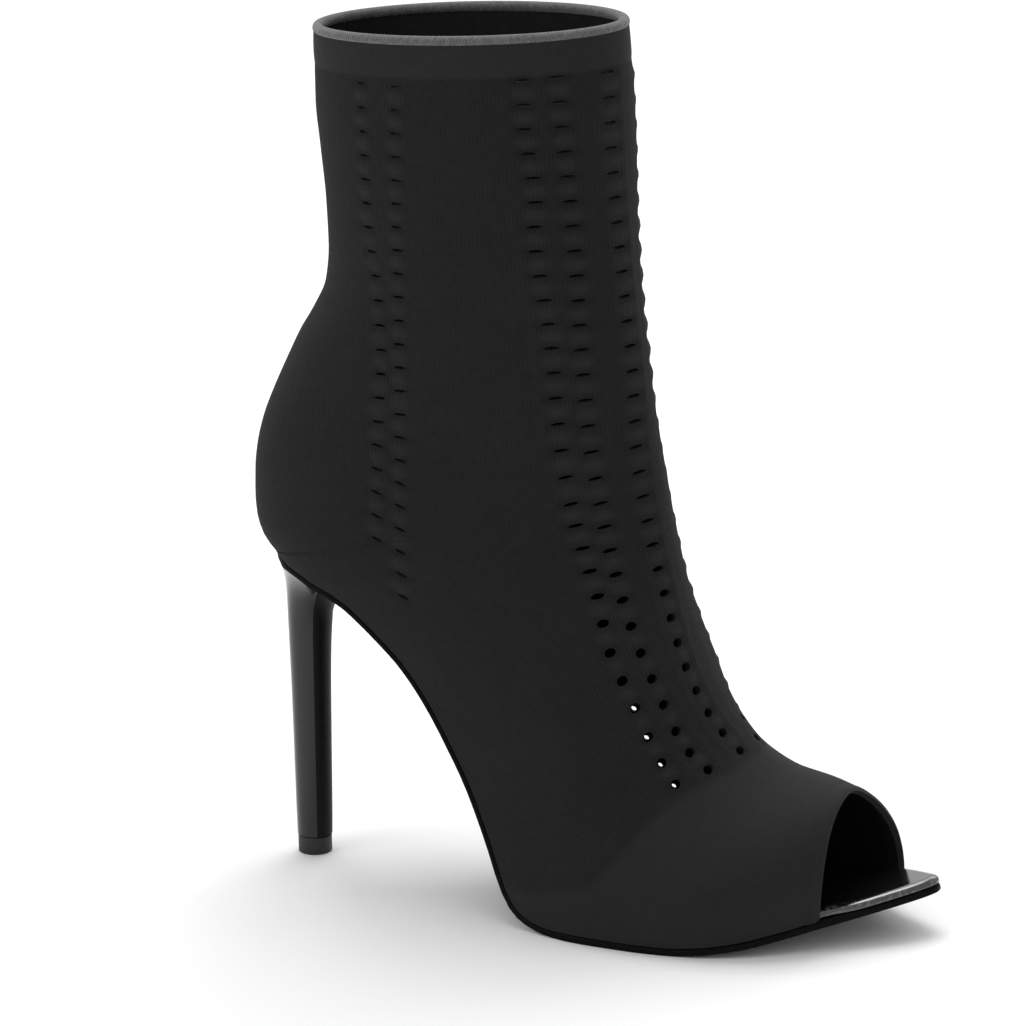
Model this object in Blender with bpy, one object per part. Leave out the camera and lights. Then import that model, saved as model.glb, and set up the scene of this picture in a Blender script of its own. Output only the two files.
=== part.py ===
"""Knit peep-toe sock bootie on a slim high heel: the right shoe, empty, standing on its sole.

Metres, +X to the toe, +Y to the inner side, +Z up, with the floor at Z = 0. The tables below give places
along the shoe as shares of SHOE_LENGTH, measured from the back of the heel bulge, and the last step of
every piece moves it so that the origin lies under the middle of the shoe.
"""

import math
from collections import namedtuple

import bmesh
import bpy
import numpy as np

# Driving sizes of the whole shoe. BOX_MIDDLE is the middle of its box as a share of half the ball width.
SHOE_LENGTH = 0.2062
BALL_WIDTH = 0.0778
HEEL_HEIGHT = 0.0952
COLLAR_RISE = 0.1565
SHAFT_DEPTH = 0.0920
SHAFT_WIDTH = 0.0560
COLLAR_TILT = math.radians(3.2)
TOE_SPRING = 0.0128
TOE_OPENING_HEIGHT = 0.0313
BOX_MIDDLE = -0.085

# Walls and gaps
UPPER_WALL = 0.0018
HEM_STEP = 0.0005
COLLAR_BAND = 0.0110
TOE_HEM = 0.0045
OUTSOLE_THICKNESS = 0.0020
WAIST_THICKNESS = 0.0014
INSOLE_THICKNESS = 0.0023
FIT_GAP = 0.0003
INSOLE_EASE = 0.0006
TIP_BLUNT = 0.0002

# Heel
POST_CENTRE = 0.0134
POST_DIAMETER = 0.0103
TOP_PIECE_DIAMETER = 0.0099
TOP_PIECE_HEIGHT = 0.0053
NECK_HEIGHT = 0.0740
SEAT_INSET = 0.0018

# Fineness of the facets
AROUND = 40
SHAFT_STEPS = [3, 3, 3, 3, 3, 3]
HEEL_AROUND = 28
SOLE_STATIONS = 76
TURN_WEIGHT = 6.0

BALL_BASE = OUTSOLE_THICKNESS + FIT_GAP
COLLAR_HEIGHT = HEEL_HEIGHT + COLLAR_RISE

# Underside of the upper seen from the side: where it lies along the shoe, how much of the heel's lift
# and how much of the toe's lift it has there.
BottomPoint = namedtuple("BottomPoint", "along heel_lift toe_lift")
BOTTOM_LINE = [
    BottomPoint(0.0315, 1.000, 0.000),
    BottomPoint(0.0679, 0.981, 0.000),
    BottomPoint(0.0970, 0.966, 0.000),
    BottomPoint(0.1261, 0.947, 0.000),
    BottomPoint(0.1503, 0.930, 0.000),
    BottomPoint(0.1785, 0.901, 0.000),
    BottomPoint(0.2037, 0.860, 0.000),
    BottomPoint(0.2328, 0.806, 0.000),
    BottomPoint(0.2648, 0.742, 0.000),
    BottomPoint(0.2910, 0.675, 0.000),
    BottomPoint(0.3201, 0.584, 0.000),
    BottomPoint(0.3492, 0.478, 0.000),
    BottomPoint(0.3734, 0.389, 0.000),
    BottomPoint(0.3952, 0.296, 0.000),
    BottomPoint(0.4146, 0.203, 0.000),
    BottomPoint(0.4316, 0.119, 0.000),
    BottomPoint(0.4486, 0.059, 0.000),
    BottomPoint(0.4656, 0.027, 0.000),
    BottomPoint(0.4874, 0.009, 0.000),
    BottomPoint(0.5141, 0.000, 0.000),
    BottomPoint(0.6800, 0.000, 0.000),
    BottomPoint(0.7300, 0.000, 0.062),
    BottomPoint(0.7800, 0.000, 0.180),
    BottomPoint(0.8250, 0.000, 0.350),
    BottomPoint(0.8750, 0.000, 0.550),
    BottomPoint(0.9300, 0.000, 0.750),
    BottomPoint(1.0000, 0.000, 1.000),
]

# Outline of the sole seen from above: half its width as a share of half the ball width, and how far
# its middle lies to the inner side.
OutlinePoint = namedtuple("OutlinePoint", "along half_width middle")
OUTLINE = [
    OutlinePoint(0.0315, 0.000, 0.000),
    OutlinePoint(0.0388, 0.206, 0.000),
    OutlinePoint(0.0533, 0.334, 0.000),
    OutlinePoint(0.0727, 0.447, 0.000),
    OutlinePoint(0.0970, 0.527, 0.000),
    OutlinePoint(0.1309, 0.602, -0.005),
    OutlinePoint(0.1746, 0.632, -0.013),
    OutlinePoint(0.2279, 0.625, -0.031),
    OutlinePoint(0.2910, 0.614, -0.067),
    OutlinePoint(0.3492, 0.627, -0.098),
    OutlinePoint(0.4070, 0.690, -0.138),
    OutlinePoint(0.4610, 0.797, -0.167),
    OutlinePoint(0.5340, 0.905, -0.159),
    OutlinePoint(0.5820, 0.959, -0.129),
    OutlinePoint(0.6550, 1.000, -0.087),
    OutlinePoint(0.7230, 0.974, -0.067),
    OutlinePoint(0.7760, 0.892, -0.054),
    OutlinePoint(0.8340, 0.738, -0.028),
    OutlinePoint(0.8780, 0.584, 0.003),
    OutlinePoint(0.9210, 0.409, 0.015),
    OutlinePoint(0.9600, 0.247, 0.044),
    OutlinePoint(0.9850, 0.131, 0.067),
    OutlinePoint(1.0000, 0.000, 0.090),
]

# Front of the shaft and ridge of the instep seen from the side, from the collar down to the toe
# opening. Heights are shares of the way from the top of the toe opening up to the collar.
RidgePoint = namedtuple("RidgePoint", "along height")
RIDGE_LINE = [
    RidgePoint(0.5495, 1.0000),
    RidgePoint(0.5587, 0.9330),
    RidgePoint(0.5626, 0.8480),
    RidgePoint(0.5645, 0.7590),
    RidgePoint(0.5679, 0.6880),
    RidgePoint(0.5737, 0.6180),
    RidgePoint(0.5815, 0.5565),
    RidgePoint(0.5912, 0.4765),
    RidgePoint(0.6033, 0.4060),
    RidgePoint(0.6169, 0.3305),
    RidgePoint(0.6324, 0.2600),
    RidgePoint(0.6518, 0.1940),
    RidgePoint(0.6760, 0.1328),
    RidgePoint(0.7080, 0.0725),
    RidgePoint(0.7459, 0.0320),
    RidgePoint(0.7929, 0.0099),
    RidgePoint(0.8438, 0.0024),
    RidgePoint(0.8826, 0.0000),
]

# Back of the shaft and heel seen from the side, from the collar down to the seat. Heights are shares
# of the way from the seat up to the collar.
BackPoint = namedtuple("BackPoint", "along height")
BACK_LINE = [
    BackPoint(0.1067, 1.0000),
    BackPoint(0.1038, 0.9400),
    BackPoint(0.1038, 0.8620),
    BackPoint(0.1096, 0.7750),
    BackPoint(0.1164, 0.6740),
    BackPoint(0.1183, 0.5900),
    BackPoint(0.1130, 0.5250),
    BackPoint(0.0951, 0.4730),
    BackPoint(0.0727, 0.4240),
    BackPoint(0.0519, 0.3690),
    BackPoint(0.0291, 0.3040),
    BackPoint(0.0136, 0.2520),
    BackPoint(0.0039, 0.2000),
    BackPoint(0.0002, 0.1545),
    BackPoint(0.0000, 0.1090),
    BackPoint(0.0019, 0.0734),
    BackPoint(0.0082, 0.0409),
    BackPoint(0.0189, 0.0169),
    BackPoint(0.0315, 0.0000),
]

# Rings of the shaft: shares of the way down the back line and down the ridge line, half width as a
# share of half the shaft width, share of the depth where it is widest, and how full its back is.
ShaftSection = namedtuple("ShaftSection", "back ridge half_width widest back_round")
SHAFT_SECTIONS = [
    ShaftSection(0.00, 0.000, 1.000, 0.50, 2.0),
    ShaftSection(0.20, 0.135, 0.995, 0.50, 2.0),
    ShaftSection(0.40, 0.265, 0.990, 0.50, 2.0),
    ShaftSection(0.60, 0.375, 1.010, 0.48, 2.1),
    ShaftSection(0.80, 0.455, 1.050, 0.44, 2.2),
    ShaftSection(0.93, 0.503, 1.078, 0.42, 2.3),
    ShaftSection(1.00, 0.525, 1.085, 0.42, 2.4),
]

# Arches of the foot: where the outer and the inner foot of the arch stand along the sole, the share of
# the way down the ridge line, half widths to each side as shares of half the ball width, the share of
# the height where it is widest, how full its lower and its upper part are, the ridge's shift, and how
# far each side bows forward between its foot and the ridge.
FootSection = namedtuple(
    "FootSection",
    "outer inner ridge outer_width inner_width widest low_round high_round shift outer_bow inner_bow",
)
FOOT_SECTIONS = [
    FootSection(0.0315, 0.0315, 0.525, 0.781, 0.781, 0.42, 2.4, 2.00, 0.000, 0.000, 0.000),
    FootSection(0.0560, 0.0560, 0.550, 0.783, 0.783, 0.40, 2.3, 2.00, 0.000, 0.000, 0.000),
    FootSection(0.1150, 0.1150, 0.583, 0.790, 0.785, 0.40, 2.2, 2.00, 0.000, 0.000, 0.000),
    FootSection(0.1840, 0.1840, 0.620, 0.798, 0.785, 0.42, 2.1, 1.95, 0.005, 0.000, 0.000),
    FootSection(0.2520, 0.2520, 0.660, 0.815, 0.790, 0.45, 2.0, 1.90, 0.010, 0.000, 0.000),
    FootSection(0.3200, 0.3150, 0.702, 0.855, 0.805, 0.48, 2.0, 1.90, 0.020, 0.000, 0.000),
    FootSection(0.3830, 0.3800, 0.748, 0.925, 0.835, 0.46, 2.0, 1.90, 0.035, 0.000, 0.000),
    FootSection(0.4460, 0.4530, 0.794, 1.020, 0.870, 0.36, 2.0, 1.85, 0.040, 0.000, 0.000),
    FootSection(0.5140, 0.5300, 0.838, 1.095, 0.905, 0.27, 2.0, 1.85, 0.035, 0.000, 0.000),
    FootSection(0.5920, 0.6160, 0.880, 1.118, 0.945, 0.21, 2.0, 1.90, 0.025, 0.000, 0.000),
    FootSection(0.6690, 0.7030, 0.919, 1.100, 0.932, 0.20, 2.0, 1.95, 0.005, 0.000, 0.000),
    FootSection(0.7420, 0.7860, 0.953, 1.020, 0.838, 0.20, 2.0, 2.05, -0.015, 0.005, 0.012),
    FootSection(0.8100, 0.8630, 0.979, 0.862, 0.660, 0.21, 2.0, 2.05, -0.045, 0.012, 0.035),
    FootSection(0.8760, 0.9330, 1.000, 0.612, 0.405, 0.28, 2.0, 2.00, -0.065, 0.020, 0.062),
]

# How finely each stretch between two foot sections is divided
FOOT_STEPS = [3, 2, 2, 2, 2, 2, 3, 3, 2, 2, 2, 2, 2]

# Heel, from the top piece up to the neck: share of the height, and its depth behind and before the
# post's centre and its half width, all as shares of the post's radius.
PostSection = namedtuple("PostSection", "height behind ahead half_width")
POST_SECTIONS = [
    PostSection(0.00, 1.00, 1.00, 1.00),
    PostSection(0.15, 1.04, 1.04, 1.04),
    PostSection(0.45, 1.09, 1.09, 1.09),
    PostSection(0.70, 1.14, 1.14, 1.15),
    PostSection(0.88, 1.19, 1.22, 1.24),
    PostSection(1.00, 1.21, 1.34, 1.36),
]

# Heel cup, from the neck up to the seat: the same columns, with its spread as shares of the way from
# the neck's size out to the seat's size.
CupSection = namedtuple("CupSection", "height behind ahead half_width")
CUP_SECTIONS = [
    CupSection(0.18, 0.04, 0.10, 0.06),
    CupSection(0.36, 0.14, 0.24, 0.16),
    CupSection(0.54, 0.30, 0.42, 0.32),
    CupSection(0.70, 0.50, 0.60, 0.52),
    CupSection(0.84, 0.73, 0.78, 0.73),
    CupSection(0.94, 0.90, 0.92, 0.90),
    CupSection(1.00, 1.00, 1.00, 1.00),
]
CUP_BACK = 0.0085
CUP_BREAST = 0.0285
CUP_FULLNESS = 2.3


def column(table, name):
    """One named column of a table as an array."""
    return np.array([getattr(row, name) for row in table], float)


def slopes_through(knots, values):
    """Slopes of a smooth curve through the values that never swings past them."""
    steps = np.diff(knots)
    rises = np.diff(values) / steps
    slopes = np.zeros(len(values))
    slopes[0] = rises[0]
    slopes[-1] = rises[-1]
    for i in range(1, len(values) - 1):
        before, after = rises[i - 1], rises[i]
        if before * after > 0:
            early = 2 * steps[i] + steps[i - 1]
            late = steps[i] + 2 * steps[i - 1]
            slopes[i] = (early + late) / (early / before + late / after)
    return slopes


def blend(knots, values, at):
    """Smooth value at one place, or at an array of places, between the knots of a table's column."""
    knots = np.asarray(knots, float)
    values = np.asarray(values, float)
    slopes = slopes_through(knots, values)
    at = np.clip(np.asarray(at, float), knots[0], knots[-1])
    i = np.clip(np.searchsorted(knots, at, side="right") - 1, 0, len(knots) - 2)
    step = knots[i + 1] - knots[i]
    t = (at - knots[i]) / step
    start = values[i] * (2 * t**3 - 3 * t**2 + 1) + slopes[i] * step * (t**3 - 2 * t**2 + t)
    end = values[i + 1] * (3 * t**2 - 2 * t**3) + slopes[i + 1] * step * (t**3 - t**2)
    return start + end


def curve_through(points, samples=600):
    """A smooth curve through points of the side view, sampled densely, with its length so far."""
    points = np.asarray(points, float)
    chords = np.concatenate([[0], np.cumsum(np.hypot(*np.diff(points, axis=0).T))])
    at = np.linspace(0, chords[-1], samples)
    curve = np.stack([blend(chords, points[:, 0], at), blend(chords, points[:, 1], at)], 1)
    lengths = np.concatenate([[0], np.cumsum(np.hypot(*np.diff(curve, axis=0).T))])
    return curve, lengths


def point_on(curve, lengths, share):
    """The point at a share of a sampled curve's length."""
    at = share * lengths[-1]
    return np.array([np.interp(at, lengths, curve[:, 0]), np.interp(at, lengths, curve[:, 1])])


def bottom_height(x):
    """Height of the upper's underside at a place along the shoe."""
    along = column(BOTTOM_LINE, "along") * SHOE_LENGTH
    heel = blend(along, column(BOTTOM_LINE, "heel_lift"), x)
    toe = blend(along, column(BOTTOM_LINE, "toe_lift"), x)
    return BALL_BASE + heel * (HEEL_HEIGHT - BALL_BASE) + toe * TOE_SPRING


def bottom_normal(x):
    """Direction square to the underside, pointing up, as its X and Z parts."""
    reach = 0.0004
    slope = (bottom_height(x + reach) - bottom_height(x - reach)) / (2 * reach)
    size = np.hypot(1, slope)
    return -slope / size, 1 / size


def outline_sides(x):
    """Y of the outer and of the inner edge of the sole. Squared widths are blended, so that the ends
    of the outline come out round."""
    along = column(OUTLINE, "along") * SHOE_LENGTH
    squared = blend(along, column(OUTLINE, "half_width") ** 2, x)
    half = np.sqrt(np.maximum(squared, 0)) * BALL_WIDTH / 2
    middle = blend(along, column(OUTLINE, "middle"), x) * BALL_WIDTH / 2
    return middle - half, middle + half


def toe_top():
    """The upper end of the toe opening, in the side view."""
    x = RIDGE_LINE[-1].along * SHOE_LENGTH
    return np.array([x, bottom_height(x) + TOE_OPENING_HEIGHT])


def ridge_curve():
    """Front of the shaft and ridge of the instep in the side view."""
    lift = SHAFT_DEPTH / 2 * math.sin(COLLAR_TILT)
    base = toe_top()[1]
    rise = COLLAR_HEIGHT + lift - base
    return curve_through([(p.along * SHOE_LENGTH, base + p.height * rise) for p in RIDGE_LINE])


def back_curve():
    """Back of the shaft and heel in the side view."""
    drop = SHAFT_DEPTH / 2 * math.sin(COLLAR_TILT)
    rise = COLLAR_RISE - drop
    return curve_through([(p.along * SHOE_LENGTH, HEEL_HEIGHT + p.height * rise) for p in BACK_LINE])


def half_profile(foot, width, widest, low_round, high_round):
    """Half of a section, from its foot to its ridge: share of the way up, and distance from the middle.
    Both parts are quarters of a rounded form that meet where the section is widest."""
    turn = np.linspace(0, math.pi / 2, 120)
    low_up = widest * (1 - np.cos(turn) ** (2 / low_round))
    low_out = np.sqrt(foot**2 + (width**2 - foot**2) * np.sin(turn) ** (4 / low_round))
    high_up = widest + (1 - widest) * np.sin(turn) ** (2 / high_round)
    high_out = width * np.cos(turn) ** (2 / high_round)
    return np.concatenate([low_up, high_up[1:]]), np.concatenate([low_out, high_out[1:]])


def even_points(points, count):
    """Points spaced evenly along a dense line."""
    lengths = np.concatenate([[0], np.cumsum(np.linalg.norm(np.diff(points, axis=0), axis=1))])
    at = np.linspace(0, lengths[-1], count)
    return np.stack([np.interp(at, lengths, points[:, k]) for k in range(3)], 1)


def half_section(foot_point, ridge_point, side, profile, shift=0.0, bow=0.0):
    """One side of a section in space. It leans from its foot on the sole up to the ridge line, and may
    bow forward on the way."""
    up, out = profile
    x = foot_point[0] + (ridge_point[0] - foot_point[0]) * up + bow * np.sin(math.pi * up)
    z = foot_point[1] + (ridge_point[1] - foot_point[1]) * up
    y = side * out + shift * up**2
    return even_points(np.stack([x, y, z], 1), AROUND // 2 + 1)


def shaft_ring(place, back, ridge):
    """Section of the shaft at a place between two rows of its table. It is closed at the back."""
    rows = np.arange(len(SHAFT_SECTIONS))
    at = {name: float(blend(rows, column(SHAFT_SECTIONS, name), place)) for name in ShaftSection._fields}
    foot = point_on(*back, at["back"])
    top = point_on(*ridge, at["ridge"])
    width = at["half_width"] * SHAFT_WIDTH / 2
    profile = half_profile(0.0, width, at["widest"], at["back_round"], 2.0)
    outer = half_section(foot, top, -1, profile)
    inner = half_section(foot, top, 1, profile)
    return np.concatenate([outer, inner[::-1][1:]])


def foot_arch(place, ridge):
    """Section of the foot at a place between two rows of its table. It is open at the sole."""
    rows = np.arange(len(FOOT_SECTIONS))
    at = {name: float(blend(rows, column(FOOT_SECTIONS, name), place)) for name in FootSection._fields}
    top = point_on(*ridge, at["ridge"])
    shift = at["shift"] * BALL_WIDTH / 2
    halves = []
    for side, name in ((-1, "outer"), (1, "inner")):
        x = at[name] * SHOE_LENGTH
        edge = abs(outline_sides(x)[0 if side < 0 else 1])
        width = max(at[name + "_width"] * BALL_WIDTH / 2, edge)
        bow = at[name + "_bow"] * BALL_WIDTH / 2
        profile = half_profile(edge, width, at["widest"], at["low_round"], at["high_round"])
        halves.append(half_section((x, bottom_height(x)), top, side, profile, shift, bow))
    return np.concatenate([halves[0], halves[1][::-1][1:]])


def upper_rings():
    """All sections of the upper from the collar to the toe opening, and how far each one stands out."""
    back = back_curve()
    ridge = ridge_curve()
    first_stretch = SHAFT_SECTIONS[1].back * back[1][-1]
    collar_end = COLLAR_BAND / first_stretch
    step = HEM_STEP / first_stretch
    places = [0.0]
    for i, steps in enumerate(SHAFT_STEPS):
        places += [i + k / steps for k in range(1, steps + 1)]
    places = [p for p in places if abs(p - collar_end) > 4 * step] + [collar_end, collar_end + step]
    rings = [(shaft_ring(p, back, ridge), p <= collar_end + step / 9) for p in sorted(places)]
    last = len(FOOT_SECTIONS) - 1
    hem = TOE_HEM / ((FOOT_SECTIONS[-1].outer - FOOT_SECTIONS[-2].outer) * SHOE_LENGTH)
    hem_start = last - hem
    step = hem * HEM_STEP / TOE_HEM
    places = []
    for i, steps in enumerate(FOOT_STEPS):
        places += [i + k / steps for k in range(1, steps + 1)]
    places = [p for p in places if abs(p - hem_start) > 4 * step] + [hem_start - step, hem_start]
    for p in sorted(places):
        rings.append((foot_arch(p, ridge), p >= hem_start - step / 9))
    return rings


def place_in_middle(bm):
    """Moves a piece from the tables' frame to the part's own, with the origin under the middle."""
    across = BOX_MIDDLE * BALL_WIDTH / 2
    bmesh.ops.translate(bm, verts=bm.verts, vec=(-SHOE_LENGTH / 2, -across, 0))


def add_object(name, bm, material, crease=math.radians(40)):
    """Turns a finished bmesh into a named object with its material and smooth shading."""
    place_in_middle(bm)
    bmesh.ops.recalc_face_normals(bm, faces=bm.faces)
    mesh = bpy.data.meshes.new(name)
    bm.to_mesh(mesh)
    bm.free()
    mesh.shade_smooth()
    mesh.set_sharp_from_angle(angle=crease)
    mesh.materials.append(material)
    obj = bpy.data.objects.new(name, mesh)
    bpy.context.scene.collection.objects.link(obj)
    return obj


def make_material(name, colour, roughness, metallic=0.0):
    """A plain principled material."""
    material = bpy.data.materials.new(name)
    material.use_nodes = True
    shader = material.node_tree.nodes["Principled BSDF"]
    shader.inputs["Base Color"].default_value = (*colour, 1)
    shader.inputs["Roughness"].default_value = roughness
    shader.inputs["Metallic"].default_value = metallic
    return material


def outer_skin(bm, rings):
    """Faces of the outside of the knit between neighbouring rings. A ring whose two ends meet is
    closed, and shares one vertex there. The facets are evened out, but not across a hem's step."""
    rows = []
    for ring, _ in rings:
        row = [bm.verts.new(p) for p in ring[:-1]]
        closed = np.linalg.norm(ring[0] - ring[-1]) < 1e-6
        row.append(row[0] if closed else bm.verts.new(ring[-1]))
        rows.append(row)
    for upper_row, lower_row in zip(rows, rows[1:]):
        for j in range(AROUND):
            corners = [upper_row[j], upper_row[j + 1], lower_row[j + 1], lower_row[j]]
            bm.faces.new(dict.fromkeys(corners))
    bmesh.ops.triangulate(bm, faces=bm.faces, quad_method="SHORT_EDGE")
    stepped = set()
    for (_, raised), (_, next_raised), row, next_row in zip(rings, rings[1:], rows, rows[1:]):
        if raised != next_raised:
            stepped |= set(row) | set(next_row)
    free = [edge for edge in bm.edges if not stepped.issuperset(edge.verts)]
    bmesh.ops.beautify_fill(bm, faces=bm.faces, edges=free, method="ANGLE")
    bmesh.ops.recalc_face_normals(bm, faces=bm.faces)
    bm.normal_update()
    return rows


def inward_on_sole(point, before, after):
    """Place of the inner edge of the wall on the underside, square to the sole's outline."""
    along = np.array([after[0] - before[0], after[1] - before[1]])
    along /= np.linalg.norm(along)
    across = np.array([along[1], -along[0]])
    if across[1] * point[1] > 0:
        across = -across
    x = point[0] + across[0] * UPPER_WALL
    y = point[1] + across[1] * UPPER_WALL
    return np.array([x, y, bottom_height(x)])


def make_upper(material):
    """The knit sock: one hollow wall, open at the collar, at the toe and underneath, with a raised hem
    at the collar and round the toe opening."""
    bm = bmesh.new()
    rings = upper_rings()
    rows = outer_skin(bm, rings)
    if sum((v.co.x - 0.1) * v.normal.x + v.co.y * v.normal.y for v in bm.verts) < 0:
        bmesh.ops.reverse_faces(bm, faces=bm.faces)
        bm.normal_update()
    skin_verts = list(bm.verts)
    skin_faces = list(bm.faces)
    rims = [edge for edge in bm.edges if edge.is_boundary]
    inside = {v: np.array(v.co) - UPPER_WALL * np.array(v.normal) for v in skin_verts}
    first_open = next(i for i, row in enumerate(rows) if row[0] is not row[-1])
    inside[rows[first_open - 1][0]][:] = np.array(rows[first_open - 1][0].co) + (UPPER_WALL, 0, 0)
    for end in (0, -1):
        edge = [np.array(rows[i][end].co) for i in range(first_open - 1, len(rows))]
        for k in range(1, len(edge)):
            after = edge[min(k + 1, len(edge) - 1)]
            inside[rows[first_open - 1 + k][end]] = inward_on_sole(edge[k], edge[k - 1], after)
    inner_of = {v: bm.verts.new(p) for v, p in inside.items()}
    normals = {v: v.normal.copy() for v in skin_verts}
    for (_, raised), row in zip(rings, rows):
        for v in dict.fromkeys(row):
            if raised:
                v.co += normals[v] * HEM_STEP
    for face in skin_faces:
        bm.faces.new([inner_of[v] for v in reversed(face.verts)])
    for edge in rims:
        a, b = edge.verts
        bm.faces.new((a, b, inner_of[b], inner_of[a]))
    return add_object("upper", bm, material)


def inset_sides(stations, inset):
    """Outer and inner edge of the outline drawn in by a distance square to itself."""
    along = OUTLINE[0].along
    turn = np.linspace(0, math.pi, 3000)
    x = SHOE_LENGTH * (along + (1 - along) * (1 - np.cos(turn)) / 2)
    edges = []
    for y in outline_sides(x):
        middle = np.interp(x, x[[0, -1]], y[[0, -1]])
        dx, dy = np.gradient(x), np.gradient(y)
        size = np.hypot(dx, dy)
        toward = np.where(y > middle, -1.0, 1.0)
        inner_x = x - toward * inset * dy / size
        inner_y = y + toward * inset * dx / size
        edges.append(np.interp(stations, inner_x[1:-1], inner_y[1:-1]))
    return list(zip(*edges))


def sole_stations(start, end, count):
    """Places along the sole that crowd where it bends and where its outline turns."""
    turn = np.linspace(0, math.pi, 3000)
    x = start + (end - start) * (1 - np.cos(turn)) / 2
    measure = np.zeros(len(x))
    for y in (bottom_height(x), *outline_sides(x)):
        angle = np.arctan2(np.gradient(y), np.gradient(x))
        measure[1:] += np.abs(np.diff(angle)) / TURN_WEIGHT
    measure = np.cumsum(measure) + (x - start) / SHOE_LENGTH
    return np.interp(np.linspace(0, measure[-1], count), measure, x)


def plate(stations, sides, low, high):
    """A thin plate that follows the underside line: a strip of quads between the edges at each
    station. The offsets low and high are measured square to that line."""
    bm = bmesh.new()
    rows = []
    for x, (outer, inner) in zip(stations, sides):
        nx, nz = bottom_normal(x)
        z = bottom_height(x)
        below, above = low(x), high(x)
        corners = [(outer, below), (inner, below), (inner, above), (outer, above)]
        rows.append([bm.verts.new((x + nx * off, y, z + nz * off)) for y, off in corners])
    bm.faces.new(rows[0])
    bm.faces.new(reversed(rows[-1]))
    for a, b in zip(rows, rows[1:]):
        for k in range(4):
            bm.faces.new((a[k], a[(k + 1) % 4], b[(k + 1) % 4], b[k]))
    return bm


def sole_thickness(x):
    """Thickness of the outsole: full under the forefoot and thinner under the waist and seat."""
    share = blend([0.44, 0.54], [0.0, 1.0], x / SHOE_LENGTH)
    return WAIST_THICKNESS + (OUTSOLE_THICKNESS - WAIST_THICKNESS) * share


def make_outsole(material):
    """The outsole, from the back of the seat to the toe, flat on the floor under the ball."""
    first = OUTLINE[0].along * SHOE_LENGTH + TIP_BLUNT
    stations = sole_stations(first, SHOE_LENGTH - TIP_BLUNT, SOLE_STATIONS)
    sides = [outline_sides(x) for x in stations]
    bm = plate(stations, sides, lambda x: -FIT_GAP - sole_thickness(x), lambda x: -FIT_GAP)
    return add_object("outsole", bm, material)


def make_insole(material):
    """The insole inside the upper, widening to the full sole where it shows in the toe opening."""
    inset = UPPER_WALL + INSOLE_EASE
    outer_step = FOOT_SECTIONS[-1].outer * SHOE_LENGTH + 3 * FIT_GAP
    inner_step = FOOT_SECTIONS[-1].inner * SHOE_LENGTH + 3 * FIT_GAP
    first = OUTLINE[0].along * SHOE_LENGTH + inset + TIP_BLUNT
    stations = list(sole_stations(first, SHOE_LENGTH - TIP_BLUNT, SOLE_STATIONS))
    for step in (outer_step, inner_step):
        stations = [x for x in stations if abs(x - step) > 2 * FIT_GAP] + [step - FIT_GAP, step]
    stations.sort()
    sides = []
    for x, drawn_in in zip(stations, inset_sides(stations, inset)):
        full = outline_sides(x)
        sides.append(
            (drawn_in[0] if x < outer_step else full[0], drawn_in[1] if x < inner_step else full[1])
        )
    bm = plate(stations, sides, lambda x: 0.0, lambda x: INSOLE_THICKNESS)
    return add_object("insole", bm, material)


def heel_ring(bm, back, breast, half_width, fullness, height_at):
    """One ring of the heel: a rounded form between its back and its breast."""
    centre, depth = (back + breast) / 2, (breast - back) / 2
    ring = []
    for k in range(HEEL_AROUND):
        turn = 2 * math.pi * k / HEEL_AROUND
        c, s = math.cos(turn), math.sin(turn)
        x = centre + depth * math.copysign(abs(c) ** (2 / fullness), c)
        y = half_width * math.copysign(abs(s) ** (2 / fullness), s)
        ring.append(bm.verts.new((x, y, height_at(x))))
    return ring


def seat_underside(x):
    """Height of the heel's top face, a gap below the outsole."""
    slope = bottom_normal(x)[1]
    return bottom_height(x) - (sole_thickness(x) + 2 * FIT_GAP) / slope


def make_heel(material):
    """The slim heel: a round post that spreads into a cup under the seat."""
    bm = bmesh.new()
    radius = POST_DIAMETER / 2
    base = TOP_PIECE_HEIGHT + FIT_GAP
    rings = []
    for row in POST_SECTIONS:
        z = base + row.height * (NECK_HEIGHT - base)
        back = POST_CENTRE - row.behind * radius
        breast = POST_CENTRE + row.ahead * radius
        rings.append(heel_ring(bm, back, breast, row.half_width * radius, 2.0, lambda x, z=z: z))
    neck = POST_SECTIONS[-1]
    seat_width = outline_sides((CUP_BACK + CUP_BREAST) / 2)[1] - SEAT_INSET
    for row in CUP_SECTIONS:
        neck_back = POST_CENTRE - neck.behind * radius
        neck_breast = POST_CENTRE + neck.ahead * radius
        back = neck_back + row.behind * (CUP_BACK - neck_back)
        breast = neck_breast + row.ahead * (CUP_BREAST - neck_breast)
        width = neck.half_width * radius
        width += row.half_width * (seat_width - width)
        full = 2.0 + row.half_width * (CUP_FULLNESS - 2.0)
        share = row.height
        rings.append(
            heel_ring(
                bm, back, breast, width, full,
                lambda x, share=share: NECK_HEIGHT + share * (seat_underside(x) - NECK_HEIGHT),
            )
        )
    for a, b in zip(rings, rings[1:]):
        for k in range(HEEL_AROUND):
            n = (k + 1) % HEEL_AROUND
            bm.faces.new((a[k], a[n], b[n], b[k]))
    bm.faces.new(reversed(rings[0]))
    close_with_strips(bm, rings[-1])
    return add_object("heel", bm, material)


def close_with_strips(bm, ring):
    """Closes a ring whose height changes only along the shoe with strips that run across it."""
    half = len(ring) // 2
    bm.faces.new((ring[0], ring[1], ring[-1]))
    for k in range(1, half - 1):
        bm.faces.new((ring[k], ring[k + 1], ring[-k - 1], ring[-k]))
    bm.faces.new((ring[half - 1], ring[half], ring[half + 1]))


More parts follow.
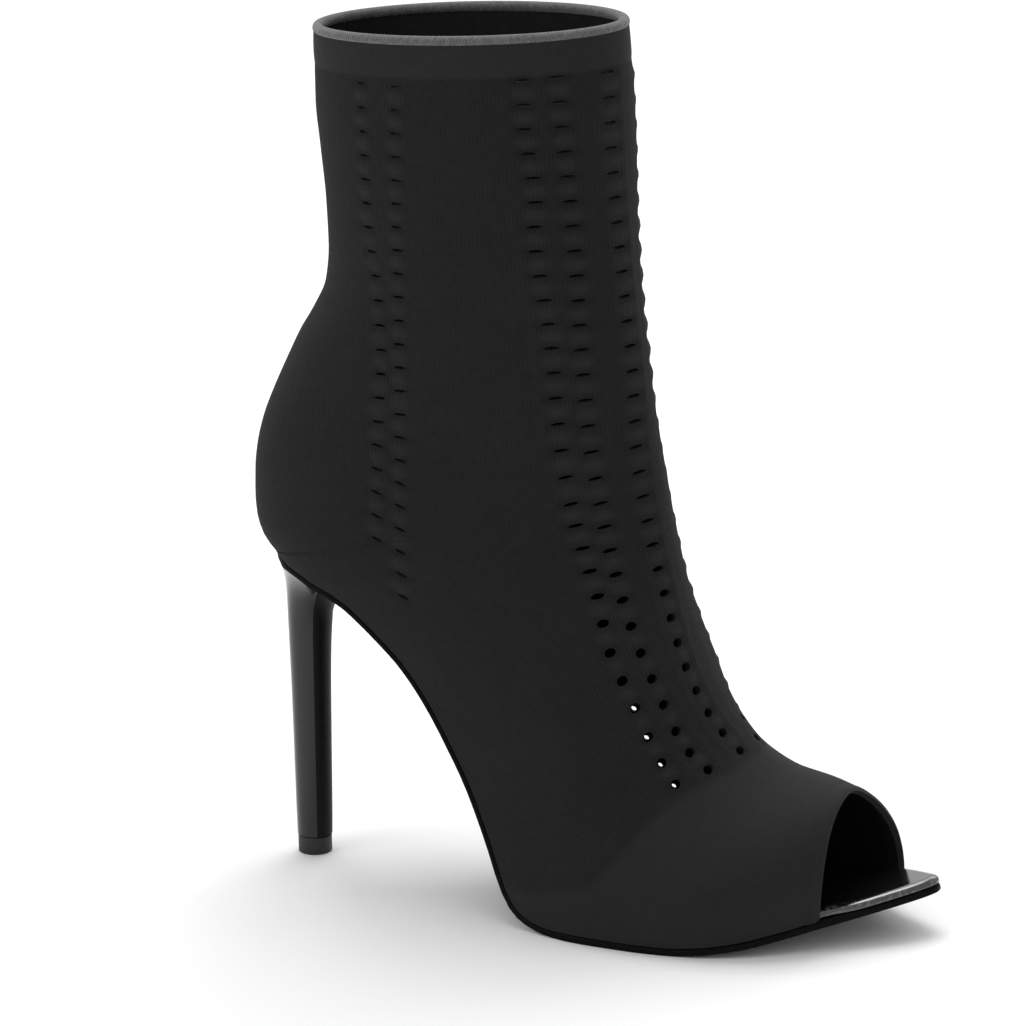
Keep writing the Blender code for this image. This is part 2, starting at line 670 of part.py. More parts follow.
def make_top_piece(material):
    """The hard-wearing tip of the heel, flat on the floor."""
    bm = bmesh.new()
    radius = TOP_PIECE_DIAMETER / 2
    bmesh.ops.create_cone(
        bm, cap_ends=True, segments=HEEL_AROUND, radius1=radius, radius2=radius, depth=TOP_PIECE_HEIGHT
    )
    bmesh.ops.translate(bm, verts=bm.verts, vec=(POST_CENTRE, 0, TOP_PIECE_HEIGHT / 2))
    return add_object("top_piece", bm, material)


def clear_scene():
    """Removes whatever the scene starts with."""
    for obj in list(bpy.data.objects):
        bpy.data.objects.remove(obj, do_unlink=True)


def main():
    clear_scene()
    knit = make_material("black_knit", (0.018, 0.018, 0.019), 0.85)
    gloss = make_material("black_gloss_heel", (0.008, 0.008, 0.008), 0.12)
    rubber = make_material("black_rubber", (0.02, 0.02, 0.02), 0.6)
    sole = make_material("black_sole_leather", (0.012, 0.012, 0.012), 0.35)
    lining = make_material("black_footbed", (0.02, 0.02, 0.02), 0.3)
    make_upper(knit)
    make_insole(lining)
    make_outsole(sole)
    make_heel(gloss)
    make_top_piece(rubber)


main()
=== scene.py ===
"""Looks of the knit peep-toe sock bootie: the dressed shoe, its floor, its light and its camera.

Everything is in metres, except where a comment says mm. The tables give places along the shoe as shares of
its length, measured from the back of the heel bulge, and Last.to_frame moves what is built from them into
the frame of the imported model.
"""

import logging
import math
from dataclasses import dataclass, field
from enum import Enum
from typing import NamedTuple, Sequence

import bmesh
import bpy
import numpy as np
from mathutils import Matrix, Vector


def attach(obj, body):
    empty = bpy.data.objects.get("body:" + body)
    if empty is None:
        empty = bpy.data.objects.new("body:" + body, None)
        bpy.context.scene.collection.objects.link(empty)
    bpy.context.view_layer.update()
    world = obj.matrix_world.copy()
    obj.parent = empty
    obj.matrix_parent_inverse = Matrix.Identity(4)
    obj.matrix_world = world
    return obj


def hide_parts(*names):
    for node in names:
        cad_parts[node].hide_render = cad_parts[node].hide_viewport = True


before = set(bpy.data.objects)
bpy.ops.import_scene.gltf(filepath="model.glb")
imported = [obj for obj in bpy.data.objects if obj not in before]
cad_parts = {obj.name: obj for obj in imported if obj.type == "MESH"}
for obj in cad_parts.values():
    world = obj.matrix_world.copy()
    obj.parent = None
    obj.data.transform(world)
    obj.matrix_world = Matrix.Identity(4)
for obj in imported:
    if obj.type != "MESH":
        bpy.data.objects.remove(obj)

LOG = logging.getLogger("bootie")
BODY = "root"
MM = 0.001

# Points closer together than this are one
WELD = 0.002 * MM
# Points in half of a section before it is spaced evenly
PROFILE_POINTS = 120
# Inputs of a Mix node: its factor with its two numbers, and its factor with its two colours
NUMBER_INPUTS = (0, 2, 3)
COLOUR_INPUTS = (0, 6, 7)


class Slot(Enum):
    """Material slots of the record."""

    KNIT = "knit"
    FOOTBED = "footbed"
    SOLE = "sole"
    HEEL = "heel_cover"
    TIP = "heel_tip"


class Side(Enum):
    """The two sides of the shoe, with the sign of Y."""

    OUTER = -1
    INNER = 1


class BottomPoint(NamedTuple):
    """Underside of the upper: place along, share of the heel's lift and of the toe's lift."""

    along: float
    heel_lift: float
    toe_lift: float


class OutlinePoint(NamedTuple):
    """Outline of the sole: place along, half width, and its middle towards the inner side."""

    along: float
    half_width: float
    middle: float


class LinePoint(NamedTuple):
    """A line of the side view: place along and share of the height."""

    along: float
    height: float


class ShaftSection(NamedTuple):
    """A ring of the shaft."""

    back: float
    ridge: float
    half_width: float
    widest: float
    back_round: float


class FootSection(NamedTuple):
    """An arch of the foot."""

    outer: float
    inner: float
    ridge: float
    outer_width: float
    inner_width: float
    widest: float
    low_round: float
    high_round: float
    shift: float
    outer_bow: float
    inner_bow: float


class HeelSection(NamedTuple):
    """A ring of the heel: height, depth behind and before the post's centre, and half width."""

    height: float
    behind: float
    ahead: float
    half_width: float


def rows_of(kind: type, *rows: tuple) -> tuple:
    """A table whose rows have names for their numbers."""
    return tuple(kind(*row) for row in rows)


BOTTOM_LINE = rows_of(
    BottomPoint,
    (0.0315, 1.000, 0.000), (0.0679, 0.981, 0.000), (0.0970, 0.966, 0.000),
    (0.1261, 0.947, 0.000), (0.1503, 0.930, 0.000), (0.1785, 0.901, 0.000),
    (0.2037, 0.860, 0.000), (0.2328, 0.806, 0.000), (0.2648, 0.742, 0.000),
    (0.2910, 0.675, 0.000), (0.3201, 0.584, 0.000), (0.3492, 0.478, 0.000),
    (0.3734, 0.389, 0.000), (0.3952, 0.296, 0.000), (0.4146, 0.203, 0.000),
    (0.4316, 0.119, 0.000), (0.4486, 0.059, 0.000), (0.4656, 0.027, 0.000),
    (0.4874, 0.009, 0.000), (0.5141, 0.000, 0.000), (0.6800, 0.000, 0.000),
    (0.7300, 0.000, 0.062), (0.7800, 0.000, 0.180), (0.8250, 0.000, 0.350),
    (0.8750, 0.000, 0.550), (0.9300, 0.000, 0.750), (1.0000, 0.000, 1.000),
)

OUTLINE = rows_of(
    OutlinePoint,
    (0.0315, 0.000, 0.000), (0.0388, 0.206, 0.000), (0.0533, 0.334, 0.000),
    (0.0727, 0.447, 0.000), (0.0970, 0.527, 0.000), (0.1309, 0.602, -0.005),
    (0.1746, 0.632, -0.013), (0.2279, 0.625, -0.031), (0.2910, 0.614, -0.067),
    (0.3492, 0.627, -0.098), (0.4070, 0.690, -0.138), (0.4610, 0.797, -0.167),
    (0.5340, 0.905, -0.159), (0.5820, 0.959, -0.129), (0.6550, 1.000, -0.087),
    (0.7230, 0.974, -0.067), (0.7760, 0.892, -0.054), (0.8340, 0.738, -0.028),
    (0.8780, 0.584, 0.003), (0.9210, 0.409, 0.015), (0.9600, 0.247, 0.044),
    (0.9850, 0.131, 0.067), (1.0000, 0.000, 0.090),
)

RIDGE_LINE = rows_of(
    LinePoint,
    (0.5495, 1.0000), (0.5587, 0.9330), (0.5626, 0.8480), (0.5645, 0.7590), (0.5679, 0.6880),
    (0.5737, 0.6180), (0.5815, 0.5565), (0.5912, 0.4765), (0.6033, 0.4060), (0.6169, 0.3305),
    (0.6324, 0.2600), (0.6518, 0.1940), (0.6760, 0.1328), (0.7080, 0.0725), (0.7459, 0.0320),
    (0.7929, 0.0099), (0.8438, 0.0024), (0.8826, 0.0000),
)

BACK_LINE = rows_of(
    LinePoint,
    (0.1067, 1.0000), (0.1038, 0.9400), (0.1038, 0.8620), (0.1096, 0.7750), (0.1164, 0.6740),
    (0.1183, 0.5900), (0.1130, 0.5250), (0.0951, 0.4730), (0.0727, 0.4240), (0.0519, 0.3690),
    (0.0291, 0.3040), (0.0136, 0.2520), (0.0039, 0.2000), (0.0002, 0.1545), (0.0000, 0.1090),
    (0.0019, 0.0734), (0.0082, 0.0409), (0.0189, 0.0169), (0.0315, 0.0000),
)

SHAFT_SECTIONS = rows_of(
    ShaftSection,
    (0.00, 0.000, 1.000, 0.50, 2.0),
    (0.20, 0.135, 0.995, 0.50, 2.0),
    (0.40, 0.265, 0.990, 0.50, 2.0),
    (0.60, 0.375, 1.010, 0.48, 2.1),
    (0.80, 0.455, 1.050, 0.44, 2.2),
    (0.93, 0.503, 1.078, 0.42, 2.3),
    (1.00, 0.525, 1.085, 0.42, 2.4),
)

FOOT_SECTIONS = rows_of(
    FootSection,
    (0.0315, 0.0315, 0.525, 0.781, 0.781, 0.42, 2.4, 2.00, 0.000, 0.000, 0.000),
    (0.0560, 0.0560, 0.550, 0.783, 0.783, 0.40, 2.3, 2.00, 0.000, 0.000, 0.000),
    (0.1150, 0.1150, 0.583, 0.790, 0.785, 0.40, 2.2, 2.00, 0.000, 0.000, 0.000),
    (0.1840, 0.1840, 0.620, 0.798, 0.785, 0.42, 2.1, 1.95, 0.005, 0.000, 0.000),
    (0.2520, 0.2520, 0.660, 0.815, 0.790, 0.45, 2.0, 1.90, 0.010, 0.000, 0.000),
    (0.3200, 0.3150, 0.702, 0.855, 0.805, 0.48, 2.0, 1.90, 0.020, 0.000, 0.000),
    (0.3830, 0.3800, 0.748, 0.925, 0.835, 0.46, 2.0, 1.90, 0.035, 0.000, 0.000),
    (0.4460, 0.4530, 0.794, 1.020, 0.870, 0.36, 2.0, 1.85, 0.040, 0.000, 0.000),
    (0.5140, 0.5300, 0.838, 1.095, 0.905, 0.27, 2.0, 1.85, 0.035, 0.000, 0.000),
    (0.5920, 0.6160, 0.880, 1.118, 0.945, 0.21, 2.0, 1.90, 0.025, 0.000, 0.000),
    (0.6690, 0.7030, 0.919, 1.100, 0.932, 0.20, 2.0, 1.95, 0.005, 0.000, 0.000),
    (0.7420, 0.7860, 0.953, 1.020, 0.838, 0.20, 2.0, 2.05, -0.015, 0.005, 0.012),
    (0.8100, 0.8630, 0.979, 0.862, 0.660, 0.21, 2.0, 2.05, -0.045, 0.012, 0.035),
    (0.8760, 0.9330, 1.000, 0.612, 0.405, 0.28, 2.0, 2.00, -0.065, 0.020, 0.062),
)

POST_SECTIONS = rows_of(
    HeelSection,
    (0.00, 1.00, 1.00, 1.00), (0.15, 1.04, 1.04, 1.04), (0.45, 1.09, 1.09, 1.09),
    (0.70, 1.14, 1.14, 1.15), (0.88, 1.19, 1.22, 1.24), (1.00, 1.21, 1.34, 1.36),
)

CUP_SECTIONS = rows_of(
    HeelSection,
    (0.00, 0.00, 0.00, 0.00), (0.18, 0.04, 0.10, 0.06), (0.36, 0.14, 0.24, 0.16),
    (0.54, 0.30, 0.42, 0.32), (0.70, 0.50, 0.60, 0.52), (0.84, 0.73, 0.78, 0.73),
    (0.94, 0.90, 0.92, 0.90), (1.00, 1.00, 1.00, 1.00),
)


def column(table: Sequence[NamedTuple], name: str) -> np.ndarray:
    """One named column of a table as an array."""
    return np.array([getattr(row, name) for row in table], float)


def slopes_through(knots: np.ndarray, values: np.ndarray) -> np.ndarray:
    """Slopes of a smooth curve through the values that never swings past them.

    Args:
        knots: Rising places at which the values are known.
        values: The value at each knot.

    Returns:
        The slope at each knot.
    """
    steps = np.diff(knots)
    rises = np.diff(values) / steps
    slopes = np.zeros(len(values))
    slopes[0] = rises[0]
    slopes[-1] = rises[-1]
    for i in range(1, len(values) - 1):
        before, after = rises[i - 1], rises[i]
        if before * after > 0:
            early = 2 * steps[i] + steps[i - 1]
            late = steps[i] + 2 * steps[i - 1]
            slopes[i] = (early + late) / (early / before + late / after)
    return slopes


def blend(knots: Sequence[float], values: Sequence[float], at: np.ndarray | float) -> np.ndarray:
    """Smooth values between the knots of a table's column.

    Args:
        knots: Rising places at which the values are known.
        values: The value at each knot.
        at: One place or an array of places.

    Returns:
        The value at each place, held constant beyond the ends.
    """
    knots = np.asarray(knots, float)
    values = np.asarray(values, float)
    slopes = slopes_through(knots, values)
    at = np.clip(np.asarray(at, float), knots[0], knots[-1])
    i = np.clip(np.searchsorted(knots, at, side="right") - 1, 0, len(knots) - 2)
    step = knots[i + 1] - knots[i]
    t = (at - knots[i]) / step
    start = values[i] * (2 * t**3 - 3 * t**2 + 1) + slopes[i] * step * (t**3 - 2 * t**2 + t)
    end = values[i + 1] * (3 * t**2 - 2 * t**3) + slopes[i + 1] * step * (t**3 - t**2)
    return start + end


def smooth_step(value: np.ndarray, low: float, high: float) -> np.ndarray:
    """Rises softly from 0 at low to 1 at high."""
    t = np.clip((value - low) / (high - low), 0, 1)
    return t * t * (3 - 2 * t)


def bell(value: np.ndarray, reach: float, power: float = 2.0) -> np.ndarray:
    """A soft bump that is 1 in the middle and fades beyond its reach."""
    return np.exp(-(np.abs(value / reach) ** power))


def lengths_along(points: np.ndarray) -> np.ndarray:
    """Distance covered at each point of a line."""
    return np.concatenate([[0], np.cumsum(np.linalg.norm(np.diff(points, axis=0), axis=1))])


def clean_mesh(name: str, bm: bmesh.types.BMesh, sharp_deg: float = 45) -> bpy.types.Object:
    """Turns a finished bmesh into a smooth-shaded object at the origin.

    Args:
        name: Name of the piece.
        bm: Its mesh, which is freed.
        sharp_deg: Edges that turn by more than this stay sharp.

    Returns:
        The object, linked to the scene.
    """
    mesh = bpy.data.meshes.new(name)
    bm.to_mesh(mesh)
    bm.free()
    mesh.shade_smooth()
    mesh.set_sharp_from_angle(angle=math.radians(sharp_deg))
    obj = bpy.data.objects.new(name, mesh)
    bpy.context.scene.collection.objects.link(obj)
    return obj


def hand_over(
    obj: bpy.types.Object, material: bpy.types.Material | None, slot: Slot, *nodes: str
) -> None:
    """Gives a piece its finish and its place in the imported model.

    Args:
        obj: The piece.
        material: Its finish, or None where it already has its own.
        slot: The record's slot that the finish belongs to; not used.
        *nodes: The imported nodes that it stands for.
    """
    if material is not None:
        obj.data.materials.append(material)
    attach(obj, BODY)
    if nodes:
        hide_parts(*nodes)
    LOG.info("%s: %d faces", obj.name, len(obj.data.polygons))


def net(
    rows: int, columns: int, points: np.ndarray
) -> tuple[bmesh.types.BMesh, list[tuple[int, int]]]:
    """A grid whose vertices are moved to given points.

    Args:
        rows: Number of strips along the first index of points.
        columns: Number of strips along its second index.
        points: (rows + 1, columns + 1, 3) places.

    Returns:
        The bmesh, and the (row, column) of each vertex by its index.
    """
    bm = bmesh.new()
    bmesh.ops.create_grid(bm, x_segments=columns, y_segments=rows, size=0.5)
    place = []
    for v in bm.verts:
        i = round((v.co.y + 0.5) * rows)
        j = round((v.co.x + 0.5) * columns)
        place.append((i, j))
        v.co = points[i, j]
    bm.verts.index_update()
    return bm, place


def store(
    bm: bmesh.types.BMesh, place: list[tuple[int, int]], name: str, values: np.ndarray
) -> None:
    """Stores a number with each vertex of a net.

    Args:
        bm: The net's mesh.
        place: The (row, column) of each vertex.
        name: Name of the attribute.
        values: The number at each row and column.
    """
    layer = bm.verts.layers.float.new(name)
    for v, (i, j) in zip(bm.verts, place):
        v[layer] = float(values[i, j])


def map_net(
    bm: bmesh.types.BMesh, place: list[tuple[int, int]], across: np.ndarray, down: np.ndarray
) -> None:
    """Gives a net of knit its map in metres.

    Args:
        bm: The net's mesh.
        place: The (row, column) of each vertex.
        across: Distance along the knit's row, at each row and column.
        down: Distance square to that.
    """
    uv = bm.loops.layers.uv.new(KnitUpper.UV_NAME)
    for face in bm.faces:
        for loop in face.loops:
            at = place[loop.vert.index]
            loop[uv].uv = (across[at], down[at])


def weld(bm: bmesh.types.BMesh, distance: float = WELD) -> None:
    """Closes the seams of a mesh and turns its faces to one side.

    Args:
        bm: The mesh.
        distance: Vertices closer than this become one.
    """
    bmesh.ops.remove_doubles(bm, verts=bm.verts, dist=distance)
    bmesh.ops.recalc_face_normals(bm, faces=bm.faces)


@dataclass
class Last:
    """The form that the shoe is built on: the same driving sizes and tables as the solids."""

    shoe_length: float = 0.2062
    ball_width: float = 0.0778
    heel_height: float = 0.0952
    collar_rise: float = 0.1565
    shaft_depth: float = 0.0920
    shaft_width: float = 0.0560
    collar_tilt: float = math.radians(3.2)
    toe_spring: float = 0.0128
    toe_opening_height: float = 0.0313
    box_middle: float = -0.085
    outsole_thickness: float = 0.0020
    waist_thickness: float = 0.0014
    fit_gap: float = 0.0003
    thin_end: float = 0.44
    thick_start: float = 0.54
    slope_reach: float = 0.0004
    samples: int = 600

    def __post_init__(self) -> None:
        """Samples the two lines of the side view."""
        lift = self.shaft_depth / 2 * math.sin(self.collar_tilt)
        collar = self.heel_height + self.collar_rise
        x = RIDGE_LINE[-1].along * self.shoe_length
        base = float(self.bottom_height(x)) + self.toe_opening_height
        self.ridge, self.ridge_lengths = self.side_line(RIDGE_LINE, base, collar + lift - base)
        self.back, self.back_lengths = self.side_line(
            BACK_LINE, self.heel_height, self.collar_rise - lift
        )

    @property
    def to_frame(self) -> np.ndarray:
        """The step from the tables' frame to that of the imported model."""
        return np.array([-self.shoe_length / 2, -self.box_middle * self.ball_width / 2, 0.0])

    @property
    def ball_base(self) -> float:
        """Height of the upper's underside at the ball."""
        return self.outsole_thickness + self.fit_gap

    def side_line(
        self, table: Sequence[LinePoint], base: float, rise: float
    ) -> tuple[np.ndarray, np.ndarray]:
        """A line of the side view, sampled densely, with its length so far.

        Args:
            table: Places along and shares of the height.
            base: Height at share 0.
            rise: Height from share 0 to 1.

        Returns:
            Its points as X and Z, and the length covered at each of them.
        """
        points = np.array([(p.along * self.shoe_length, base + p.height * rise) for p in table])
        chords = lengths_along(points)
        at = np.linspace(0, chords[-1], self.samples)
        curve = np.stack([blend(chords, points[:, 0], at), blend(chords, points[:, 1], at)], 1)
        return curve, lengths_along(curve)

    @staticmethod
    def point_on(curve: np.ndarray, lengths: np.ndarray, share: float) -> np.ndarray:
        """The point at a share of a sampled line's length."""
        at = share * lengths[-1]
        return np.array([np.interp(at, lengths, curve[:, k]) for k in range(2)])

    def bottom_height(self, x: np.ndarray | float) -> np.ndarray:
        """Height of the upper's underside at places along the shoe.

        Args:
            x: One place or an array of places.

        Returns:
            The height at each place.
        """
        along = column(BOTTOM_LINE, "along") * self.shoe_length
        heel = blend(along, column(BOTTOM_LINE, "heel_lift"), x)
        toe = blend(along, column(BOTTOM_LINE, "toe_lift"), x)
        return self.ball_base + heel * (self.heel_height - self.ball_base) + toe * self.toe_spring

    def bottom_normal(self, x: np.ndarray | float) -> tuple[np.ndarray, np.ndarray]:
        """Direction square to the underside, pointing up.

        Args:
            x: One place or an array of places.

        Returns:
            Its X part and its Z part.
        """
        reach = self.slope_reach
        slope = (self.bottom_height(x + reach) - self.bottom_height(x - reach)) / (2 * reach)
        size = np.hypot(1, slope)
        return -slope / size, 1 / size

    def outline_sides(self, x: np.ndarray | float) -> tuple[np.ndarray, np.ndarray]:
        """The two edges of the sole.

        Args:
            x: One place or an array of places.

        Returns:
            Y of the outer edge and Y of the inner edge.
        """
        along = column(OUTLINE, "along") * self.shoe_length
        squared = blend(along, column(OUTLINE, "half_width") ** 2, x)
        half = np.sqrt(np.maximum(squared, 0)) * self.ball_width / 2
        middle = blend(along, column(OUTLINE, "middle"), x) * self.ball_width / 2
        return middle - half, middle + half

    def sole_thickness(self, x: np.ndarray | float) -> np.ndarray:
        """Thickness of the outsole: full under the forefoot, thinner under the waist and seat."""
        share = blend([self.thin_end, self.thick_start], [0.0, 1.0], np.asarray(x) / self.shoe_length)
        return self.waist_thickness + (self.outsole_thickness - self.waist_thickness) * share

    def seat_underside(self, x: np.ndarray | float) -> np.ndarray:
        """Height of the heel's top face, a gap below the outsole."""
        upright = self.bottom_normal(x)[1]
        return self.bottom_height(x) - (self.sole_thickness(x) + 2 * self.fit_gap) / upright


def half_profile(
    foot: float, width: float, widest: float, low_round: float, high_round: float
) -> tuple[np.ndarray, np.ndarray]:
    """Half of a section from its foot to its ridge.

    Args:
        foot: Distance of its foot from the middle.
        width: Largest distance from the middle.
        widest: Share of the way up where it is widest.
        low_round: How full the lower part is.
        high_round: How full the upper part is.

    Returns:
        Share of the way up, and distance from the middle.
    """
    turn = np.linspace(0, math.pi / 2, PROFILE_POINTS)
    low_up = widest * (1 - np.cos(turn) ** (2 / low_round))
    low_out = np.sqrt(foot**2 + (width**2 - foot**2) * np.sin(turn) ** (4 / low_round))
    high_up = widest + (1 - widest) * np.sin(turn) ** (2 / high_round)
    high_out = width * np.cos(turn) ** (2 / high_round)
    return np.concatenate([low_up, high_up[1:]]), np.concatenate([low_out, high_out[1:]])


@dataclass
class Skin:
    """The outside of the knit as a net of points, from the collar down to the toe opening.

    Columns run from the outer side's edge, or the back of the shaft, over the ridge to the inner side's.
    """

    last: Last
    half_columns: int = 108
    coarse: float = 1.38 * MM
    fine: float = 0.45 * MM
    collar_fine: float = 1.6 * MM
    band: float = 11 * MM
    band_fine: float = 0.8 * MM
    toe_fine: float = 5.2 * MM
    dense_places: int = 4000
    dense_lengths: int = 6000

    def __post_init__(self) -> None:
        """Works out every point with its normal, its distances and its ridge length."""
        shaft_rows = np.arange(len(SHAFT_SECTIONS))
        foot_rows = np.arange(len(FOOT_SECTIONS))
        self.joint = len(SHAFT_SECTIONS) - 1
        dense = np.linspace(0, self.joint + len(FOOT_SECTIONS) - 1, self.dense_places)
        shaft_share = blend(shaft_rows, column(SHAFT_SECTIONS, "ridge"), dense)
        foot_share = blend(foot_rows, column(FOOT_SECTIONS, "ridge"), dense - self.joint)
        share = np.where(dense <= self.joint, shaft_share, foot_share)
        self.total = self.last.ridge_lengths[-1]
        self.ridge = self.row_lengths()
        joint_length = SHAFT_SECTIONS[-1].ridge * self.total
        nearest = int(np.argmin(np.abs(self.ridge - joint_length)))
        self.ridge[nearest] = joint_length
        self.closed_rows = nearest + 1
        places = np.interp(self.ridge, share * self.total, dense)
        places[nearest] = self.joint
        self.points = np.array([self.section(place) for place in places])
        steps = np.linalg.norm(np.diff(self.points, axis=1), axis=2)
        covered = np.concatenate([np.zeros((len(places), 1)), np.cumsum(steps, axis=1)], axis=1)
        self.arc = covered - covered[:, self.half_columns][:, None]
        falls = np.linalg.norm(np.diff(self.points, axis=0), axis=2)
        self.down = np.concatenate([np.zeros((1, falls.shape[1])), np.cumsum(falls, axis=0)])
        self.up = self.down[-1] - self.down
        self.normal = self.normals()

    def row_lengths(self) -> np.ndarray:
        """Spaces the rows, closer together at the rims and at the hems' steps.

        Returns:
            The ridge length of each row.
        """
        s = np.linspace(0, self.total, self.dense_lengths)
        close = (s < self.collar_fine) | (s > self.total - self.toe_fine)
        close |= np.abs(s - self.band) < self.band_fine
        density = np.where(close, 1 / self.fine, 1 / self.coarse)
        count = np.concatenate([[0], np.cumsum((density[1:] + density[:-1]) / 2 * np.diff(s))])
        return np.interp(np.linspace(0, count[-1], int(count[-1]) + 1), count, s)

    def section(self, place: float) -> np.ndarray:
        """One row of points: a ring of the shaft or an arch of the foot.

        Args:
            place: Row number in the shaft's table, and on through the foot's.

        Returns:
            Its points, from the outer side over the ridge to the inner side.
        """
        if place <= self.joint:
            return self.shaft_ring(place)
        return self.foot_arch(place - self.joint)

    def shaft_ring(self, place: float) -> np.ndarray:
        """Section of the shaft, closed at the back.

        Args:
            place: Row number in the shaft's table.

        Returns:
            Its points.
        """
        rows = np.arange(len(SHAFT_SECTIONS))
        at = {n: float(blend(rows, column(SHAFT_SECTIONS, n), place)) for n in ShaftSection._fields}
        foot = self.last.point_on(self.last.back, self.last.back_lengths, at["back"])
        top = self.last.point_on(self.last.ridge, self.last.ridge_lengths, at["ridge"])
        width = at["half_width"] * self.last.shaft_width / 2
        profile = half_profile(0.0, width, at["widest"], at["back_round"], 2.0)
        halves = [self.half_section(foot, top, side.value, profile) for side in Side]
        return np.concatenate([halves[0], halves[1][::-1][1:]])

    def foot_arch(self, place: float) -> np.ndarray:
        """Section of the foot, open at the sole.

        Args:
            place: Row number in the foot's table.

        Returns:
            Its points.
        """
        rows = np.arange(len(FOOT_SECTIONS))
        at = {n: float(blend(rows, column(FOOT_SECTIONS, n), place)) for n in FootSection._fields}
        top = self.last.point_on(self.last.ridge, self.last.ridge_lengths, at["ridge"])
        half_ball = self.last.ball_width / 2
        halves = []
        for side, name in ((Side.OUTER, "outer"), (Side.INNER, "inner")):
            x = at[name] * self.last.shoe_length
            edge = abs(self.last.outline_sides(x)[0 if side is Side.OUTER else 1])
            width = max(at[name + "_width"] * half_ball, edge)
            profile = half_profile(edge, width, at["widest"], at["low_round"], at["high_round"])
            foot = (x, self.last.bottom_height(x))
            shift = at["shift"] * half_ball
            bow = at[name + "_bow"] * half_ball
            halves.append(self.half_section(foot, top, side.value, profile, shift, bow))
        return np.concatenate([halves[0], halves[1][::-1][1:]])

    def half_section(
        self,
        foot: Sequence[float],
        top: Sequence[float],
        side: int,
        profile: tuple[np.ndarray, np.ndarray],
        shift: float = 0.0,
        bow: float = 0.0,
    ) -> np.ndarray:
        """One side of a section in space, from its foot up to the ridge.

        Args:
            foot: X and Z of its foot.
            top: X and Z of the ridge.
            side: Sign of Y.
            profile: Shares of the way up, and distances from the middle.
            shift: Distance by which the ridge lies towards the inner side.
            bow: Distance by which it bows forwards in the middle.

        Returns:
            Evenly spaced points.
        """
        up, out = profile
        x = foot[0] + (top[0] - foot[0]) * up + bow * np.sin(math.pi * up)
        z = foot[1] + (top[1] - foot[1]) * up
        line = np.stack([x, side * out + shift * up**2, z], 1)
        lengths = lengths_along(line)
        at = np.linspace(0, lengths[-1], self.half_columns + 1)
        return np.stack([np.interp(at, lengths, line[:, k]) for k in range(3)], 1)

    def normals(self) -> np.ndarray:
        """Unit normals that point outwards, the same on both sides of the closed back.

        Returns:
            The normal of each point.
        """
        across = np.gradient(self.points, axis=1)
        along = np.gradient(self.points, axis=0)
        closed = slice(0, self.closed_rows)
        seam = self.points[closed, 1] - self.points[closed, -2]
        across[closed, 0] = seam
        across[closed, -1] = seam
        normal = np.cross(across, along)
        normal /= np.linalg.norm(normal, axis=2, keepdims=True)
        if normal[0, self.half_columns, 0] < 0:
            normal = -normal
        both = normal[closed, 0] + normal[closed, -1]
        both /= np.linalg.norm(both, axis=1, keepdims=True)
        normal[closed, 0] = both
        normal[closed, -1] = both
        return normal

    def row_at(self, ridge_length: float) -> int:
        """The row nearest to a ridge length."""
        return int(np.argmin(np.abs(self.ridge - ridge_length)))

    def spot(self, ridge_length: float, arc: float) -> "Spot":
        """The place on the knit at a ridge length and an arc distance from the ridge.

        Args:
            ridge_length: Distance down the ridge from the collar.
            arc: Distance along the row from the ridge, positive on the inner side.

        Returns:
            The place, with its axes.
        """
        i = self.row_at(ridge_length)
        j = int(np.argmin(np.abs(self.arc[i] - arc)))
        point = np.array([np.interp(arc, self.arc[i], self.points[i, :, k]) for k in range(3)])
        if 0 < i < len(self.ridge) - 1:
            k = i + 1 if ridge_length > self.ridge[i] else i - 1
            t = (ridge_length - self.ridge[i]) / (self.ridge[k] - self.ridge[i])
            other = np.array([np.interp(arc, self.arc[k], self.points[k, :, c]) for c in range(3)])
            point = point + (other - point) * t
        low, high = max(j - 1, 0), min(j + 1, self.points.shape[1] - 1)
        return Spot(point, self.points[i, high] - self.points[i, low], self.normal[i, j])

    def spot_beside(self, x: float, z: float, side: Side) -> "Spot":
        """The place on one side of the knit that lies at an X and a Z.

        Args:
            x: Place along the shoe.
            z: Height.
            side: The side to look on.

        Returns:
            The place, with its axes.
        """
        columns = slice(0, self.half_columns)
        if side is Side.INNER:
            columns = slice(self.half_columns + 1, None)
        area = self.points[:, columns]
        gap = (area[..., 0] - x) ** 2 + (area[..., 2] - z) ** 2
        i, j = np.unravel_index(int(np.argmin(gap)), gap.shape)
        normal = self.normal[:, columns][i, j]
        point = area[i, j].copy()
        off = np.array([x - point[0], z - point[2]])
        point[0], point[2] = x, z
        point[1] -= (normal[0] * off[0] + normal[2] * off[1]) / normal[1]
        return Spot(point, np.array([1.0, 0.0, 0.0]), normal)


class Spot:
    """A place on the knit with its own axes: along the row, down the ladder, and outwards."""

    def __init__(self, point: np.ndarray, along: np.ndarray, out: np.ndarray) -> None:
        """Makes the axes square to each other.

        Args:
            point: Where it lies.
            along: Direction along the row, roughly.
            out: Direction outwards.
        """
        self.point = point
        self.out = out / np.linalg.norm(out)
        along = along - self.out * (along @ self.out)
        self.along = along / np.linalg.norm(along)
        self.down = np.cross(self.out, self.along)

    def matrix(self, length: float, height: float, depth: float) -> Matrix:
        """Places a unit form here.

        Args:
            length: Size along the row.
            height: Size down the ladder.
            depth: Size outwards.

        Returns:
            The transform.
        """
        frame_of = np.eye(4)
        frame_of[:3, 0] = self.along * length
        frame_of[:3, 1] = self.down * height
        frame_of[:3, 2] = self.out * depth
        frame_of[:3, 3] = self.point
        return Matrix(frame_of.tolist())


class Eyelet(NamedTuple):
    """One hole of a ladder: its place, and the length and height of its hollow and of its opening."""

    spot: Spot
    length: float
    height: float
    open_length: float
    open_height: float


